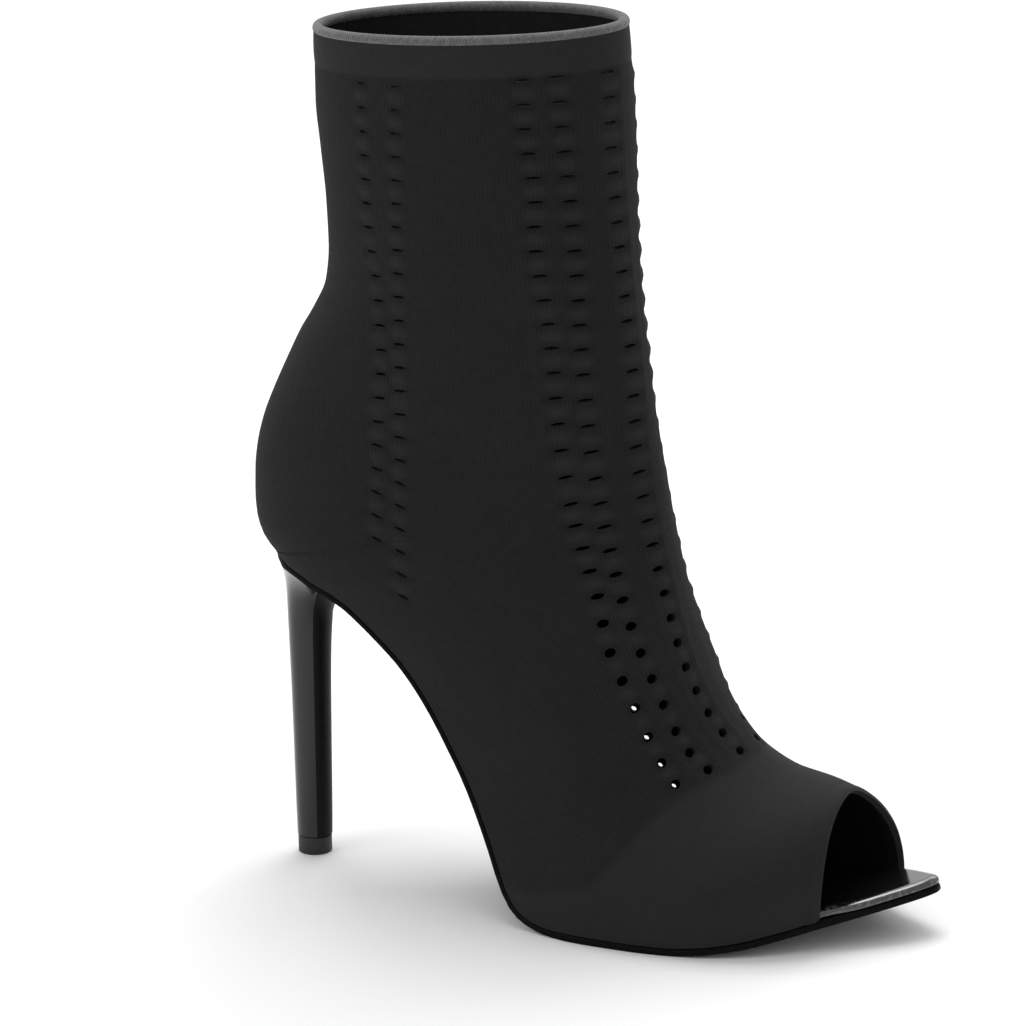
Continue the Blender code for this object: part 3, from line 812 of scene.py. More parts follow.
class LadderPoint(NamedTuple):
    """A point of a ladder's middle line: ridge length and arc distance from the ridge, in mm."""

    ridge: float
    arc: float


@dataclass(frozen=True)
class FrontLadder:
    """A ladder of holes that runs down the front of the shaft to the vamp."""

    line: tuple[LadderPoint, ...]
    first: float
    final: float
    rows: int = 29

    def arc_at(self, ridge_length: np.ndarray | float) -> np.ndarray:
        """Arc distance of its middle line at ridge lengths, in metres."""
        knots = [p.ridge * MM for p in self.line]
        return blend(knots, [p.arc * MM for p in self.line], ridge_length)


@dataclass(frozen=True)
class RearLadder:
    """A ladder of holes down the side of the heel: places in the side view, in mm from the heel bulge."""

    line: tuple[tuple[float, float], ...]
    rows: int

    def centres(self) -> list[tuple[float, float]]:
        """Spaces the holes evenly in height.

        Returns:
            X and Z of each hole, in metres.
        """
        z = np.array([p[1] for p in self.line])
        x = np.array([p[0] for p in self.line])
        at = np.linspace(z[0], z[-1], self.rows)
        return [(float(blend(-z, x, -h)) * MM, float(h) * MM) for h in at]


FRONT_LADDERS = (
    FrontLadder(
        rows_of(
            LadderPoint,
            (12, 33.7), (25, 34.0), (45, 31.6), (55, 32.3), (75, 30.6), (86, 29.8),
            (127, 30.2), (156, 28.8), (170, 31.0), (204, 31.0),
        ),
        first=12.3,
        final=203.4,
    ),
    FrontLadder(
        rows_of(
            LadderPoint,
            (12, 24.2), (31, 23.3), (50, 21.8), (72, 21.2), (100, 21.8), (129, 22.0),
            (157, 22.2), (176, 22.8), (196, 22.4), (207, 20.2),
        ),
        first=12.0,
        final=207.0,
    ),
    FrontLadder(
        rows_of(
            LadderPoint,
            (12, 8.9), (32, 9.2), (48, 8.1), (70, 6.8), (89, 6.4), (133, 9.2),
            (160, 9.0), (182, 10.7), (196, 9.4), (209, 6.6),
        ),
        first=12.4,
        final=209.5,
    ),
)

REAR_LADDERS = (
    RearLadder(
        (
            (45.8, 237.0), (46.0, 214.0), (46.4, 195.0), (48.6, 184.0), (50.2, 171.0),
            (51.2, 160.0), (50.4, 138.0), (50.0, 108.0),
        ),
        rows=20,
    ),
    RearLadder(
        (
            (57.4, 237.4), (56.6, 214.0), (56.4, 190.0), (57.0, 165.0), (57.4, 135.0),
            (57.4, 110.0), (57.8, 91.8),
        ),
        rows=23,
    ),
)


# Small holes low on the inner side, as X and Z in mm from the heel bulge
PINHOLES = ((102.1, 45.0), (105.8, 36.3), (109.9, 28.2), (113.9, 22.1))

# Length and height of a hole's hollow, and the shares of them that are open
SLOT_EYELET = (6.0 * MM, 2.3 * MM, 0.76, 0.44)
ROUND_EYELET = (4.1 * MM, 3.3 * MM, 0.84, 0.84)

# Where the plain toe band begins
PLAIN_LINE = rows_of(
    LadderPoint,
    (213.2, 0), (212.4, 11), (210.2, 20.4), (207.4, 29), (205.6, 38), (204.7, 68.5), (199.8, 77.5),
    (194.8, 87), (180, 120),
)


class Shader:
    """A material in the making: its principled node and short ways to put nodes before it."""

    def __init__(self, name: str, **constants: float | tuple) -> None:
        """Starts a material.

        Args:
            name: Name of the material.
            **constants: Values for the principled node's sockets, with _ for each blank.
        """
        self.material = bpy.data.materials.new(name)
        self.material.use_nodes = True
        self.nodes = self.material.node_tree.nodes
        self.links = self.material.node_tree.links
        self.surface = next(n for n in self.nodes if n.type == "BSDF_PRINCIPLED")
        for socket, value in constants.items():
            self.surface.inputs[socket.replace("_", " ")].default_value = value

    def put(self, target: bpy.types.NodeSocket, value: bpy.types.NodeSocket | float | tuple) -> None:
        """Links or writes a value into a socket.

        Args:
            target: The socket.
            value: Another socket, or a constant.
        """
        if isinstance(value, bpy.types.NodeSocket):
            self.links.new(value, target)
        else:
            target.default_value = value

    def math(self, operation: str, *terms: bpy.types.NodeSocket | float) -> bpy.types.NodeSocket:
        """A Math node.

        Args:
            operation: What it does.
            *terms: Its inputs in order.

        Returns:
            Its result.
        """
        node = self.nodes.new("ShaderNodeMath")
        node.operation = operation
        for target, term in zip(node.inputs, terms):
            self.put(target, term)
        return node.outputs[0]

    def product(self, *terms: bpy.types.NodeSocket | float) -> bpy.types.NodeSocket:
        """Two terms multiplied."""
        return self.math("MULTIPLY", *terms)

    def weighted(self, *terms: bpy.types.NodeSocket | float) -> bpy.types.NodeSocket:
        """The first term times the second, plus the third."""
        return self.math("MULTIPLY_ADD", *terms)

    def wave(self, turns: bpy.types.NodeSocket | float, pace: float = 1.0) -> bpy.types.NodeSocket:
        """A sine of a number of turns."""
        return self.math("SINE", self.product(turns, math.tau * pace))

    def between(
        self, value: bpy.types.NodeSocket, low: float, high: float, start: float = 0.0, end: float = 1.0
    ) -> bpy.types.NodeSocket:
        """Maps a range softly to another one.

        Args:
            value: What is mapped.
            low: Where the range starts.
            high: Where it ends.
            start: Result at low and below.
            end: Result at high and above.

        Returns:
            The mapped value.
        """
        node = self.nodes.new("ShaderNodeMapRange")
        node.interpolation_type = "SMOOTHSTEP"
        self.put(node.inputs["Value"], value)
        limits = {"From Min": low, "From Max": high, "To Min": start, "To Max": end}
        for socket, number in limits.items():
            node.inputs[socket].default_value = number
        return node.outputs["Result"]

    def blended(
        self,
        share: bpy.types.NodeSocket,
        low: bpy.types.NodeSocket | float,
        high: bpy.types.NodeSocket | float,
    ) -> bpy.types.NodeSocket:
        """A number between two others.

        Args:
            share: 0 for the first, 1 for the second.
            low: The first number.
            high: The second number.

        Returns:
            The number.
        """
        node = self.nodes.new("ShaderNodeMix")
        for index, value in zip(NUMBER_INPUTS, (share, low, high)):
            self.put(node.inputs[index], value)
        return node.outputs[0]

    def colours(
        self, share: bpy.types.NodeSocket, dark: tuple, light: tuple
    ) -> bpy.types.NodeSocket:
        """A colour between two others.

        Args:
            share: 0 for the first, 1 for the second.
            dark: The first colour.
            light: The second colour.

        Returns:
            The colour.
        """
        node = self.nodes.new("ShaderNodeMix")
        node.data_type = "RGBA"
        for index, value in zip(COLOUR_INPUTS, (share, (*dark, 1), (*light, 1))):
            self.put(node.inputs[index], value)
        return node.outputs[2]

    def noise(
        self, scale: float, detail: float = 3.0, roughness: float = 0.55
    ) -> bpy.types.NodeSocket:
        """Noise in the object's own space.

        Args:
            scale: Features in a metre.
            detail: Number of finer layers.
            roughness: How strong the finer layers are.

        Returns:
            The noise, about 0.5 on average.
        """
        node = self.nodes.new("ShaderNodeTexNoise")
        node.inputs["Scale"].default_value = scale
        node.inputs["Detail"].default_value = detail
        node.inputs["Roughness"].default_value = roughness
        place = self.nodes.new("ShaderNodeTexCoord").outputs["Object"]
        self.links.new(place, node.inputs["Vector"])
        return node.outputs[0]

    def on_knit(self) -> tuple[bpy.types.NodeSocket, bpy.types.NodeSocket]:
        """Reads the knit's own map.

        Returns:
            The distance along the row, and the distance down.
        """
        uv = self.nodes.new("ShaderNodeUVMap")
        uv.uv_map = KnitUpper.UV_NAME
        parts = self.nodes.new("ShaderNodeSeparateXYZ")
        self.links.new(uv.outputs[0], parts.inputs[0])
        return parts.outputs[0], parts.outputs[1]

    def attribute(self, name: str) -> bpy.types.NodeSocket:
        """A number stored on the mesh.

        Args:
            name: Name of the attribute.

        Returns:
            The number.
        """
        node = self.nodes.new("ShaderNodeAttribute")
        node.attribute_name = name
        return node.outputs["Fac"]

    def bump(
        self,
        height: bpy.types.NodeSocket,
        distance: float,
        strength: float = 1.0,
        under: bpy.types.NodeSocket | None = None,
    ) -> bpy.types.NodeSocket:
        """A Bump node.

        Args:
            height: The relief, 0 to 1.
            distance: Its depth.
            strength: How strongly it shows.
            under: Another bump that it lies over.

        Returns:
            The normal.
        """
        node = self.nodes.new("ShaderNodeBump")
        node.inputs["Distance"].default_value = distance
        node.inputs["Strength"].default_value = strength
        self.links.new(height, node.inputs["Height"])
        if under is not None:
            self.links.new(under, node.inputs["Normal"])
        return node.outputs["Normal"]

    def set(self, socket: str, value: bpy.types.NodeSocket) -> None:
        """Links a value to the principled node."""
        self.links.new(value, self.surface.inputs[socket])


@dataclass(frozen=True)
class KnitFinish:
    """Matt black stretch knit: V stitches in wales, a finer smooth stitch where the knit is plain."""

    name: str = "black_knit"
    dark: tuple = (0.0080, 0.0080, 0.0083)
    light: tuple = (0.0180, 0.0180, 0.0185)
    sheen: float = 0.04
    sheen_roughness: float = 0.45
    sheen_tint: tuple = (0.75, 0.75, 0.78, 1)
    specular: float = 0.16
    rib_roughness: float = 0.92
    plain_roughness: float = 0.80
    wale: float = 1.15 * MM
    course: float = 0.95 * MM
    slant: float = 0.9
    rib_power: float = 2.4
    split_width: float = 0.28
    split_height: float = 0.6
    leg_height: float = 0.6
    fine_across: float = 1.7
    fine_down: float = 1.3
    fine_height: float = 0.28
    fine_level: float = 0.6
    relief: float = 0.22 * MM
    relief_strength: float = 0.75
    fuzz: tuple = (2600, 2.0)
    yarn: tuple = (420, 4.0)
    cloud: tuple = (38, 2.0)
    yarn_share: float = 0.4
    fuzz_share: float = 0.35
    yarn_depth: float = 0.08 * MM
    yarn_strength: float = 0.6
    # Painted shade: share by which the stitches' relief darkens the colour in their grooves and lightens it
    # on their tops
    stitch_painted_shade: float = 0.55
    tone_of_yarn: float = 0.5
    tone_of_cloud: float = 0.35
    tone_of_plain: float = 0.16
    # Painted highlight and shade: share by which the puffed rungs are painted lighter and the holes'
    # hollows darker
    puff_painted_light_and_shade: float = 0.55
    tones: tuple = (0.25, 1.35)

    def material(self) -> bpy.types.Material:
        """Builds the material.

        Returns:
            The material.
        """
        s = Shader(
            self.name,
            Specular_IOR_Level=self.specular,
            Sheen_Weight=self.sheen,
            Sheen_Roughness=self.sheen_roughness,
            Sheen_Tint=self.sheen_tint,
        )
        plain = s.attribute(KnitUpper.PLAIN)
        yarn = s.noise(*self.yarn)
        height = s.blended(plain, *self.stitches(s))
        # Painted shade and highlight: the colour darkens in the stitches' grooves and the hollows round the
        # holes, and lightens on the stitches' tops and the puffed rungs
        tone = s.product(height, self.stitch_painted_shade)
        for part, share in (
            (yarn, self.tone_of_yarn),
            (s.noise(*self.cloud), self.tone_of_cloud),
            (plain, self.tone_of_plain),
            (s.attribute(KnitUpper.PUFF), self.puff_painted_light_and_shade),
        ):
            tone = s.weighted(part, share, tone)
        s.set("Base Color", s.colours(s.between(tone, *self.tones), self.dark, self.light))
        s.set("Roughness", s.blended(plain, self.rib_roughness, self.plain_roughness))
        hairs = s.weighted(s.noise(*self.fuzz), self.fuzz_share, s.product(yarn, self.yarn_share))
        under = s.bump(hairs, self.yarn_depth, self.yarn_strength)
        s.set("Normal", s.bump(height, self.relief, self.relief_strength, under))
        return s.material

    def stitches(self, s: Shader) -> tuple[bpy.types.NodeSocket, bpy.types.NodeSocket]:
        """Heights of the two stitches.

        Args:
            s: The material in the making.

        Returns:
            The ribbed V stitch and the smooth fine stitch.
        """
        x, y = s.on_knit()
        across = s.math("DIVIDE", x, self.wale)
        down = s.math("DIVIDE", y, self.course)
        in_wale = s.math("SUBTRACT", s.math("FRACT", across), 0.5)
        off_middle = s.product(s.math("ABSOLUTE", in_wale), 2.0)
        rib = s.math("SUBTRACT", 1.0, s.math("POWER", off_middle, self.rib_power))
        leg = s.weighted(s.wave(s.weighted(off_middle, self.slant, down)), 0.5, 0.5)
        split = s.between(off_middle, 0.0, self.split_width, self.split_height, 1.0)
        ribbed = s.product(rib, split)
        stitch = s.product(ribbed, s.weighted(leg, self.leg_height, 1 - self.leg_height))
        fine = s.product(s.wave(across, self.fine_across), s.wave(down, self.fine_down))
        return stitch, s.weighted(fine, self.fine_height, self.fine_level)


@dataclass(frozen=True)
class LiningFinish:
    """The inside of the knit: deep black with a faint rib."""

    name: str = "black_lining"
    dark: tuple = (0.0100, 0.0100, 0.0101)
    light: tuple = (0.0200, 0.0200, 0.0202)
    specular: float = 0.05
    roughness: float = 0.95
    grain: tuple = (500, 3.0)
    rib: float = 1.15 * MM
    rib_depth: float = 0.15 * MM
    rib_strength: float = 0.5

    def material(self) -> bpy.types.Material:
        """Builds the material.

        Returns:
            The material.
        """
        s = Shader(self.name, Specular_IOR_Level=self.specular, Roughness=self.roughness)
        rib = s.wave(s.on_knit()[0], 1 / self.rib)
        s.set("Base Color", s.colours(s.noise(*self.grain), self.dark, self.light))
        s.set("Normal", s.bump(rib, self.rib_depth, self.rib_strength))
        return s.material


@dataclass(frozen=True)
class RollFinish:
    """The folded collar edge, of the same yarn as the knit: its colour is painted several times lighter
    than the knit's, a painted highlight for the light that the roll's top catches.
    """

    name: str = "knit_roll_painted_highlight"
    # Painted highlight: colours far lighter than the knit's yarn, for the light along the roll's top
    dark: tuple = (0.060, 0.060, 0.061)
    light: tuple = (0.140, 0.140, 0.142)
    tones: tuple = (0.2, 0.9)
    specular: float = 0.35
    roughness: float = 0.7
    sheen: float = 0.4
    sheen_roughness: float = 0.4
    sheen_tint: tuple = (0.8, 0.8, 0.82, 1)
    stitch: float = 0.9 * MM
    slant: float = 0.9
    # Painted shade: share by which the stitches' relief darkens and lightens the roll's colour
    roll_stitch_painted_shade: float = 0.2
    stitch_depth: float = 0.12 * MM
    yarn: tuple = (700, 3.0)
    yarn_depth: float = 0.06 * MM
    strength: float = 0.6

    def material(self) -> bpy.types.Material:
        """Builds the material.

        Returns:
            The material.
        """
        s = Shader(
            self.name,
            Specular_IOR_Level=self.specular,
            Roughness=self.roughness,
            Sheen_Weight=self.sheen,
            Sheen_Roughness=self.sheen_roughness,
            Sheen_Tint=self.sheen_tint,
        )
        round_about, over = s.on_knit()
        turns = s.weighted(over, self.slant / self.stitch, s.math("DIVIDE", round_about, self.stitch))
        stitches = s.wave(turns)
        yarn = s.noise(*self.yarn)
        tone = s.between(s.weighted(stitches, self.roll_stitch_painted_shade, yarn), *self.tones)
        s.set("Base Color", s.colours(tone, self.dark, self.light))
        under = s.bump(yarn, self.yarn_depth, self.strength)
        s.set("Normal", s.bump(stitches, self.stitch_depth, self.strength, under))
        return s.material


@dataclass(frozen=True)
class FootbedFinish:
    """Black footbed, half gloss, with the faint grain and speckle of coated leather."""

    name: str = "black_footbed"
    base: tuple = (0.004, 0.004, 0.004)
    fleck: tuple = (0.060, 0.060, 0.062)
    specular: float = 0.5
    coat: float = 1.0
    coat_roughness: float = 0.17
    coat_ior: float = 1.6
    specks: tuple = (900, 2.0)
    speck_range: tuple = (0.48, 0.66)
    edge_range: tuple = (0.2, 0.8, 0.05, 1.0)
    smears: tuple = (220, 3.0)
    gloss_range: tuple = (0.3, 0.7, 0.14, 0.24)
    grain: tuple = (1500, 3.0)
    grain_depth: float = 0.015 * MM
    grain_strength: float = 0.4

    def material(self) -> bpy.types.Material:
        """Builds the material.

        Returns:
            The material.
        """
        s = Shader(
            self.name,
            Specular_IOR_Level=self.specular,
            Coat_Weight=self.coat,
            Coat_Roughness=self.coat_roughness,
            Coat_IOR=self.coat_ior,
        )
        at_edge = s.between(s.attribute(SolePlate.EDGE), *self.edge_range)
        flecks = s.product(s.between(s.noise(*self.specks), *self.speck_range), at_edge)
        s.set("Base Color", s.colours(flecks, self.base, self.fleck))
        s.set("Roughness", s.between(s.noise(*self.smears), *self.gloss_range))
        s.set("Normal", s.bump(s.noise(*self.grain), self.grain_depth, self.grain_strength))
        return s.material


@dataclass(frozen=True)
class SoleFinish:
    """Black sole: a matt ground face and a waxed edge."""

    name: str = "black_sole"
    base: tuple = (0.0018, 0.0018, 0.0018)
    worn: tuple = (0.0050, 0.0050, 0.0050)
    specular: float = 0.06
    face_roughness: float = 0.70
    edge_roughness: float = 0.50
    grain: tuple = (900, 4.0)
    grain_range: tuple = (0.4, 0.75)
    grain_depth: float = 0.06 * MM
    grain_strength: float = 0.5

    def material(self) -> bpy.types.Material:
        """Builds the material.

        Returns:
            The material.
        """
        s = Shader(self.name, Specular_IOR_Level=self.specular)
        grain = s.noise(*self.grain)
        s.set("Base Color", s.colours(s.between(grain, *self.grain_range), self.base, self.worn))
        edge = s.attribute(SolePlate.EDGE)
        s.set("Roughness", s.blended(edge, self.face_roughness, self.edge_roughness))
        s.set("Normal", s.bump(grain, self.grain_depth, self.grain_strength))
        return s.material


@dataclass(frozen=True)
class HeelFinish:
    """Glossy black heel cover with the faint waviness of lacquer."""

    name: str = "black_gloss_heel"
    base: tuple = (0.0045, 0.0045, 0.0047)
    deep: tuple = (0.0075, 0.0075, 0.0078)
    specular: float = 0.42
    coat: float = 0.10
    coat_roughness: float = 0.05
    depths: tuple = (60, 2.0)
    smears: tuple = (300, 3.0)
    gloss_range: tuple = (0.35, 0.75, 0.10, 0.20)
    waves: tuple = (110, 2.0)
    wave_depth: float = 0.10 * MM
    wave_strength: float = 0.25

    def material(self) -> bpy.types.Material:
        """Builds the material.

        Returns:
            The material.
        """
        s = Shader(
            self.name,
            Specular_IOR_Level=self.specular,
            Coat_Weight=self.coat,
            Coat_Roughness=self.coat_roughness,
        )
        s.set("Base Color", s.colours(s.noise(*self.depths), self.base, self.deep))
        s.set("Roughness", s.between(s.noise(*self.smears), *self.gloss_range))
        s.set("Normal", s.bump(s.noise(*self.waves), self.wave_depth, self.wave_strength))
        return s.material


@dataclass(frozen=True)
class GrainFinish:
    """A plain black finish whose grain varies its tone, its gloss and its relief together."""

    name: str
    base: tuple
    worn: tuple
    specular: float
    grain: tuple
    tone_range: tuple
    gloss_range: tuple
    depth: float
    strength: float

    def material(self) -> bpy.types.Material:
        """Builds the material.

        Returns:
            The material.
        """
        s = Shader(self.name, Specular_IOR_Level=self.specular)
        grain = s.noise(*self.grain)
        s.set("Base Color", s.colours(s.between(grain, *self.tone_range), self.base, self.worn))
        s.set("Roughness", s.between(grain, *self.gloss_range))
        s.set("Normal", s.bump(grain, self.depth, self.strength))
        return s.material


# Painted shade down the breast of the heel: a matt finish in place of the glossy cover, standing in for the
# dark reflection on that face
BREAST_PAINTED_SHADE_FINISH = GrainFinish(
    name="heel_breast_painted_shade",
    base=(0.0040, 0.0040, 0.0040),
    worn=(0.0090, 0.0090, 0.0090),
    specular=0.10,
    grain=(1100, 4.0),
    tone_range=(0.4, 0.75),
    gloss_range=(0.3, 0.8, 0.38, 0.52),
    depth=0.04 * MM,
    strength=0.5,
)

# Hard black rubber of the tip, a little scuffed
TIP_FINISH = GrainFinish(
    name="black_rubber_tip",
    base=(0.012, 0.012, 0.012),
    worn=(0.035, 0.035, 0.035),
    specular=0.4,
    grain=(700, 5.0, 0.7),
    tone_range=(0.45, 0.8),
    gloss_range=(0.3, 0.8, 0.45, 0.65),
    depth=0.05 * MM,
    strength=0.6,
)


@dataclass
class KnitUpper:
    """The knitted sock: one hollow wall with its hems, ribs and ladders of holes, and its rolled collar."""

    last: Last
    skin: Skin
    wall: float = 1.8 * MM
    hem_step: float = 0.5 * MM
    band_start: float = 1.5 * MM
    band_fade: float = 2.0 * MM
    band_groove: float = 0.10 * MM
    toe_hem: float = 4.3 * MM
    toe_hem_share: float = 0.7
    toe_fade: tuple = (1.2 * MM, 0.8 * MM)
    toe_groove: float = 0.16 * MM
    toe_groove_offset: float = 0.6 * MM
    groove_width: float = 0.7 * MM
    rim_rounding: float = 0.75 * MM
    rim_reach: float = 1.1 * MM
    plain_band: tuple = (0.2 * MM, 0.6 * MM)
    plain_toe: tuple = (1.0 * MM, 1.6 * MM)
    rib_height: float = 0.20 * MM
    rib_offset: float = 4.3 * MM
    rib_width: float = 1.2 * MM
    rib_start: tuple = (10 * MM, 14 * MM)
    rib_end: tuple = (203 * MM, 212 * MM)
    rung_height: float = 0.46 * MM
    rung_width: float = 1.75 * MM
    rung_share: float = 0.50
    hollow_depth: float = 0.36 * MM
    hollow_shares: tuple = (0.56, 0.62)
    patch_reach: float = 9 * MM
    vamp: tuple = (135 * MM, 175 * MM)
    knitted_over: tuple = (10, 11, 12, 13, 14)
    rear_size: float = 0.82
    rear_dip: float = math.radians(20)
    rear_level: tuple = (118 * MM, 150 * MM)
    pinhole: tuple = (1.9 * MM, 1.8 * MM)
    hole_corners: int = 12
    hole_depth: float = 7 * MM
    roll_radius: float = 1.5 * MM
    roll_drop: float = 0.9 * MM
    roll_corners: int = 14
    sharp_deg: float = 50
    finish: KnitFinish = field(default_factory=KnitFinish)
    roll_finish: RollFinish = field(default_factory=RollFinish)
    lining: LiningFinish = field(default_factory=LiningFinish)

    UV_NAME = "knit"
    PLAIN = "plain"
    # Attribute of the holes' relief, which the knit finish turns into painted highlight on the rungs and
    # painted shade in the hollows
    PUFF = "puff"

    def build(self) -> None:
        """Builds and dresses the sock and its collar roll."""
        hand_over(self.sock(self.front_ladders() + self.rear_ladders()), None, Slot.KNIT, "upper")
        hand_over(self.collar_roll(), self.roll_finish.material(), Slot.KNIT)

    def front_ladders(self) -> list[list[Eyelet]]:
        """The ladders down the front.

        Returns:
            The holes of each ladder, from the collar down.
        """
        ladders = []
        for ladder in FRONT_LADDERS:
            at = np.linspace(ladder.first * MM, ladder.final * MM, ladder.rows)
            for side in Side:
                holes = []
                for s in at:
                    spot = self.skin.spot(float(s), side.value * float(ladder.arc_at(s)))
                    holes.append(self.eyelet(spot, float(smooth_step(np.array(s), *self.vamp))))
                if ladder in FRONT_LADDERS[1:] and side is Side.INNER:
                    for k in self.knitted_over:
                        holes[k] = holes[k]._replace(open_length=0.0)
                ladders.append(holes)
        return ladders

    def rear_ladders(self) -> list[list[Eyelet]]:
        """The ladders beside the heel, whose holes dip forwards low down.

        Returns:
            The holes of each ladder, from the collar down.
        """
        ladders = []
        for ladder in REAR_LADDERS:
            for side in Side:
                holes = []
                for x, z in ladder.centres():
                    spot = self.skin.spot_beside(x, z, side)
                    dip = self.rear_dip * (1 - float(smooth_step(np.array(z), *self.rear_level)))
                    along = np.array([math.cos(dip), 0.0, -math.sin(dip)])
                    holes.append(self.eyelet(Spot(spot.point, along, spot.out), 0.0, self.rear_size))
                ladders.append(holes)
        return ladders

    def pinholes(self) -> list[Eyelet]:
        """The short row of small holes low on the inner side, through which light shows."""
        spots = [self.skin.spot_beside(x * MM, z * MM, Side.INNER) for x, z in PINHOLES]
        return [Eyelet(spot, *self.pinhole, *self.pinhole) for spot in spots]

    @staticmethod
    def eyelet(spot: Spot, low: float, size: float = 1.0) -> Eyelet:
        """A hole between the wide slot of the shaft and the round hole of the vamp.

        Args:
            spot: Where it lies.
            low: 0 for the slot, 1 for the round hole.
            size: Factor on its size.

        Returns:
            The hole.
        """
        length, height, long_share, high_share = (
            slot + (round_one - slot) * low for slot, round_one in zip(SLOT_EYELET, ROUND_EYELET)
        )
        length *= size
        height *= size
        return Eyelet(spot, length, height, length * long_share, height * high_share)

    def hems(self) -> np.ndarray:
        """Steps and grooves of the collar band and of the toe hem.

        Returns:
            How far each point of the skin stands out.
        """
        skin = self.skin
        band = 1 - smooth_step(skin.down, self.band_start, skin.band + self.band_fade)
        above, below = self.toe_fade
        hem = 1 - smooth_step(skin.up, self.toe_hem - above, self.toe_hem + below)
        lift = self.hem_step * (band + self.toe_hem_share * hem)
        lift -= self.band_groove * bell(skin.down - skin.band, self.groove_width)
        groove = skin.up - self.toe_hem - self.toe_groove_offset
        lift -= self.toe_groove * bell(groove, self.groove_width)
        lift -= self.rim_rounding * np.clip(1 - skin.up / self.rim_reach, 0, 1) ** 2
        return lift

    def ribs(self) -> np.ndarray:
        """The two raised ribs beside each front ladder.

        Returns:
            How far each point of the skin stands out.
        """
        skin = self.skin
        ridge = np.broadcast_to(skin.ridge[:, None], skin.arc.shape)
        fade = smooth_step(ridge, *self.rib_start) * (1 - smooth_step(ridge, *self.rib_end))
        lift = np.zeros(skin.arc.shape)
        for ladder in FRONT_LADDERS:
            off = np.abs(skin.arc) - ladder.arc_at(ridge)
            for offset in (-self.rib_offset, self.rib_offset):
                lift += self.rib_height * fade * bell(off - offset, self.rib_width)
        return lift

    def patch(
        self, points: np.ndarray, centre: np.ndarray, axes: Spot, length: float, power: float, height: float
    ) -> tuple[np.ndarray, np.ndarray]:
        """A soft patch on the knit.

        Args:
            points: Every point of the skin.
            centre: Middle of the patch.
            axes: The place whose axes it follows.
            length: Its reach along the row.
            power: How abruptly it ends along the row.
            height: Its reach down the ladder.

        Returns:
            Which points are near it, and its share at each of those.
        """
        off = points - centre
        near = np.abs(off).max(axis=1) < self.patch_reach
        along = bell(off[near] @ axes.along, length, power)
        return near, along * bell(off[near] @ axes.down, height)

    def ladder_relief(self, ladders: list[list[Eyelet]]) -> np.ndarray:
        """The hollows of the holes and the puffed rungs between them.

        Args:
            ladders: The holes of each ladder.

        Returns:
            How far each point of the skin stands out.
        """
        points = self.skin.points.reshape(-1, 3)
        lift = np.zeros(len(points))
        along, down = self.hollow_shares
        for holes in ladders:
            for hole in holes:
                reach = hole.length * along, 4, hole.height * down
                near, share = self.patch(points, hole.spot.point, hole.spot, *reach)
                lift[near] -= self.hollow_depth * share
            for first, second in zip(holes, holes[1:]):
                middle = (first.spot.point + second.spot.point) / 2
                reach = first.length * self.rung_share, 3, self.rung_width
                near, share = self.patch(points, middle, first.spot, *reach)
                lift[near] += self.rung_height * share
        return lift.reshape(self.skin.arc.shape)

    def plainness(self) -> np.ndarray:
        """Where the knit is plain and smooth: the collar band and the toe band.

        Returns:
            The share of plain knit at each point of the skin.
        """
        skin = self.skin
        before, after = self.plain_band
        band = 1 - smooth_step(skin.down, skin.band - before, skin.band + after)
        arcs = column(PLAIN_LINE, "arc") * MM
        start = blend(arcs, column(PLAIN_LINE, "ridge") * MM, np.abs(skin.arc))
        before, after = self.plain_toe
        return np.maximum(band, smooth_step(skin.ridge[:, None] - start, -before, after))

    def sock(self, ladders: list[list[Eyelet]]) -> bpy.types.Object:
        """The wall of the sock, with the holes cut through it.

        Args:
            ladders: The holes of each ladder.

        Returns:
            The finished object.
        """
        skin = self.skin
        puffed = self.ladder_relief(ladders)
        lift = self.hems() + self.ribs() + puffed
        outside = skin.points + skin.normal * lift[..., None] + self.last.to_frame
        rows, columns = skin.arc.shape[0] - 1, skin.arc.shape[1] - 1
        bm, place = net(rows, columns, outside)
        # The puffs' relief goes to the finish as painted highlight on the rungs and painted shade in the
        # hollows
        shares = ((self.PLAIN, self.plainness()), (self.PUFF, puffed / self.rung_height))
        for name, values in shares:
            store(bm, place, name, values)
        map_net(bm, place, skin.arc, skin.down)
        weld(bm)
        front = max(bm.faces, key=lambda f: f.calc_center_median().x)
        if front.normal.x < 0:
            bmesh.ops.reverse_faces(bm, faces=bm.faces)
        sock = clean_mesh("knit_sock", bm)
        sock.data.materials.append(self.finish.material())
        sock.data.materials.append(self.lining.material())
        wall = sock.modifiers.new("wall", "SOLIDIFY")
        wall.thickness = self.wall
        wall.offset = -1
        wall.material_offset = 1
        wall.material_offset_rim = 0
        cutter = self.cutter(ladders)
        cut = sock.modifiers.new("holes", "BOOLEAN")
        cut.operation = "DIFFERENCE"
        cut.solver = "MANIFOLD"
        cut.object = cutter
        apply_modifiers(sock)
        bpy.data.objects.remove(cutter, do_unlink=True)
        sock.data.set_sharp_from_angle(angle=math.radians(self.sharp_deg))
        return sock

    def cutter(self, ladders: list[list[Eyelet]]) -> bpy.types.Object:
        """One mesh of lens-shaped prisms, a prism for each hole.

        Args:
            ladders: The holes of each ladder.

        Returns:
            The mesh's object, which the render doesn't show.
        """
        bm = bmesh.new()
        shift = Matrix.Translation(Vector(self.last.to_frame))
        holes = [hole for ladder in [*ladders, self.pinholes()] for hole in ladder]
        for hole in (hole for hole in holes if hole.open_length > 0):
            place = hole.spot.matrix(hole.open_length / 2, hole.open_height / 2, self.hole_depth)
            bmesh.ops.create_cone(
                bm,
                cap_ends=True,
                segments=self.hole_corners,
                radius1=1,
                radius2=1,
                depth=1,
                matrix=shift @ place,
            )
        bmesh.ops.recalc_face_normals(bm, faces=bm.faces)
        cutter = clean_mesh("hole_cutter", bm)
        cutter.hide_render = True
        return cutter

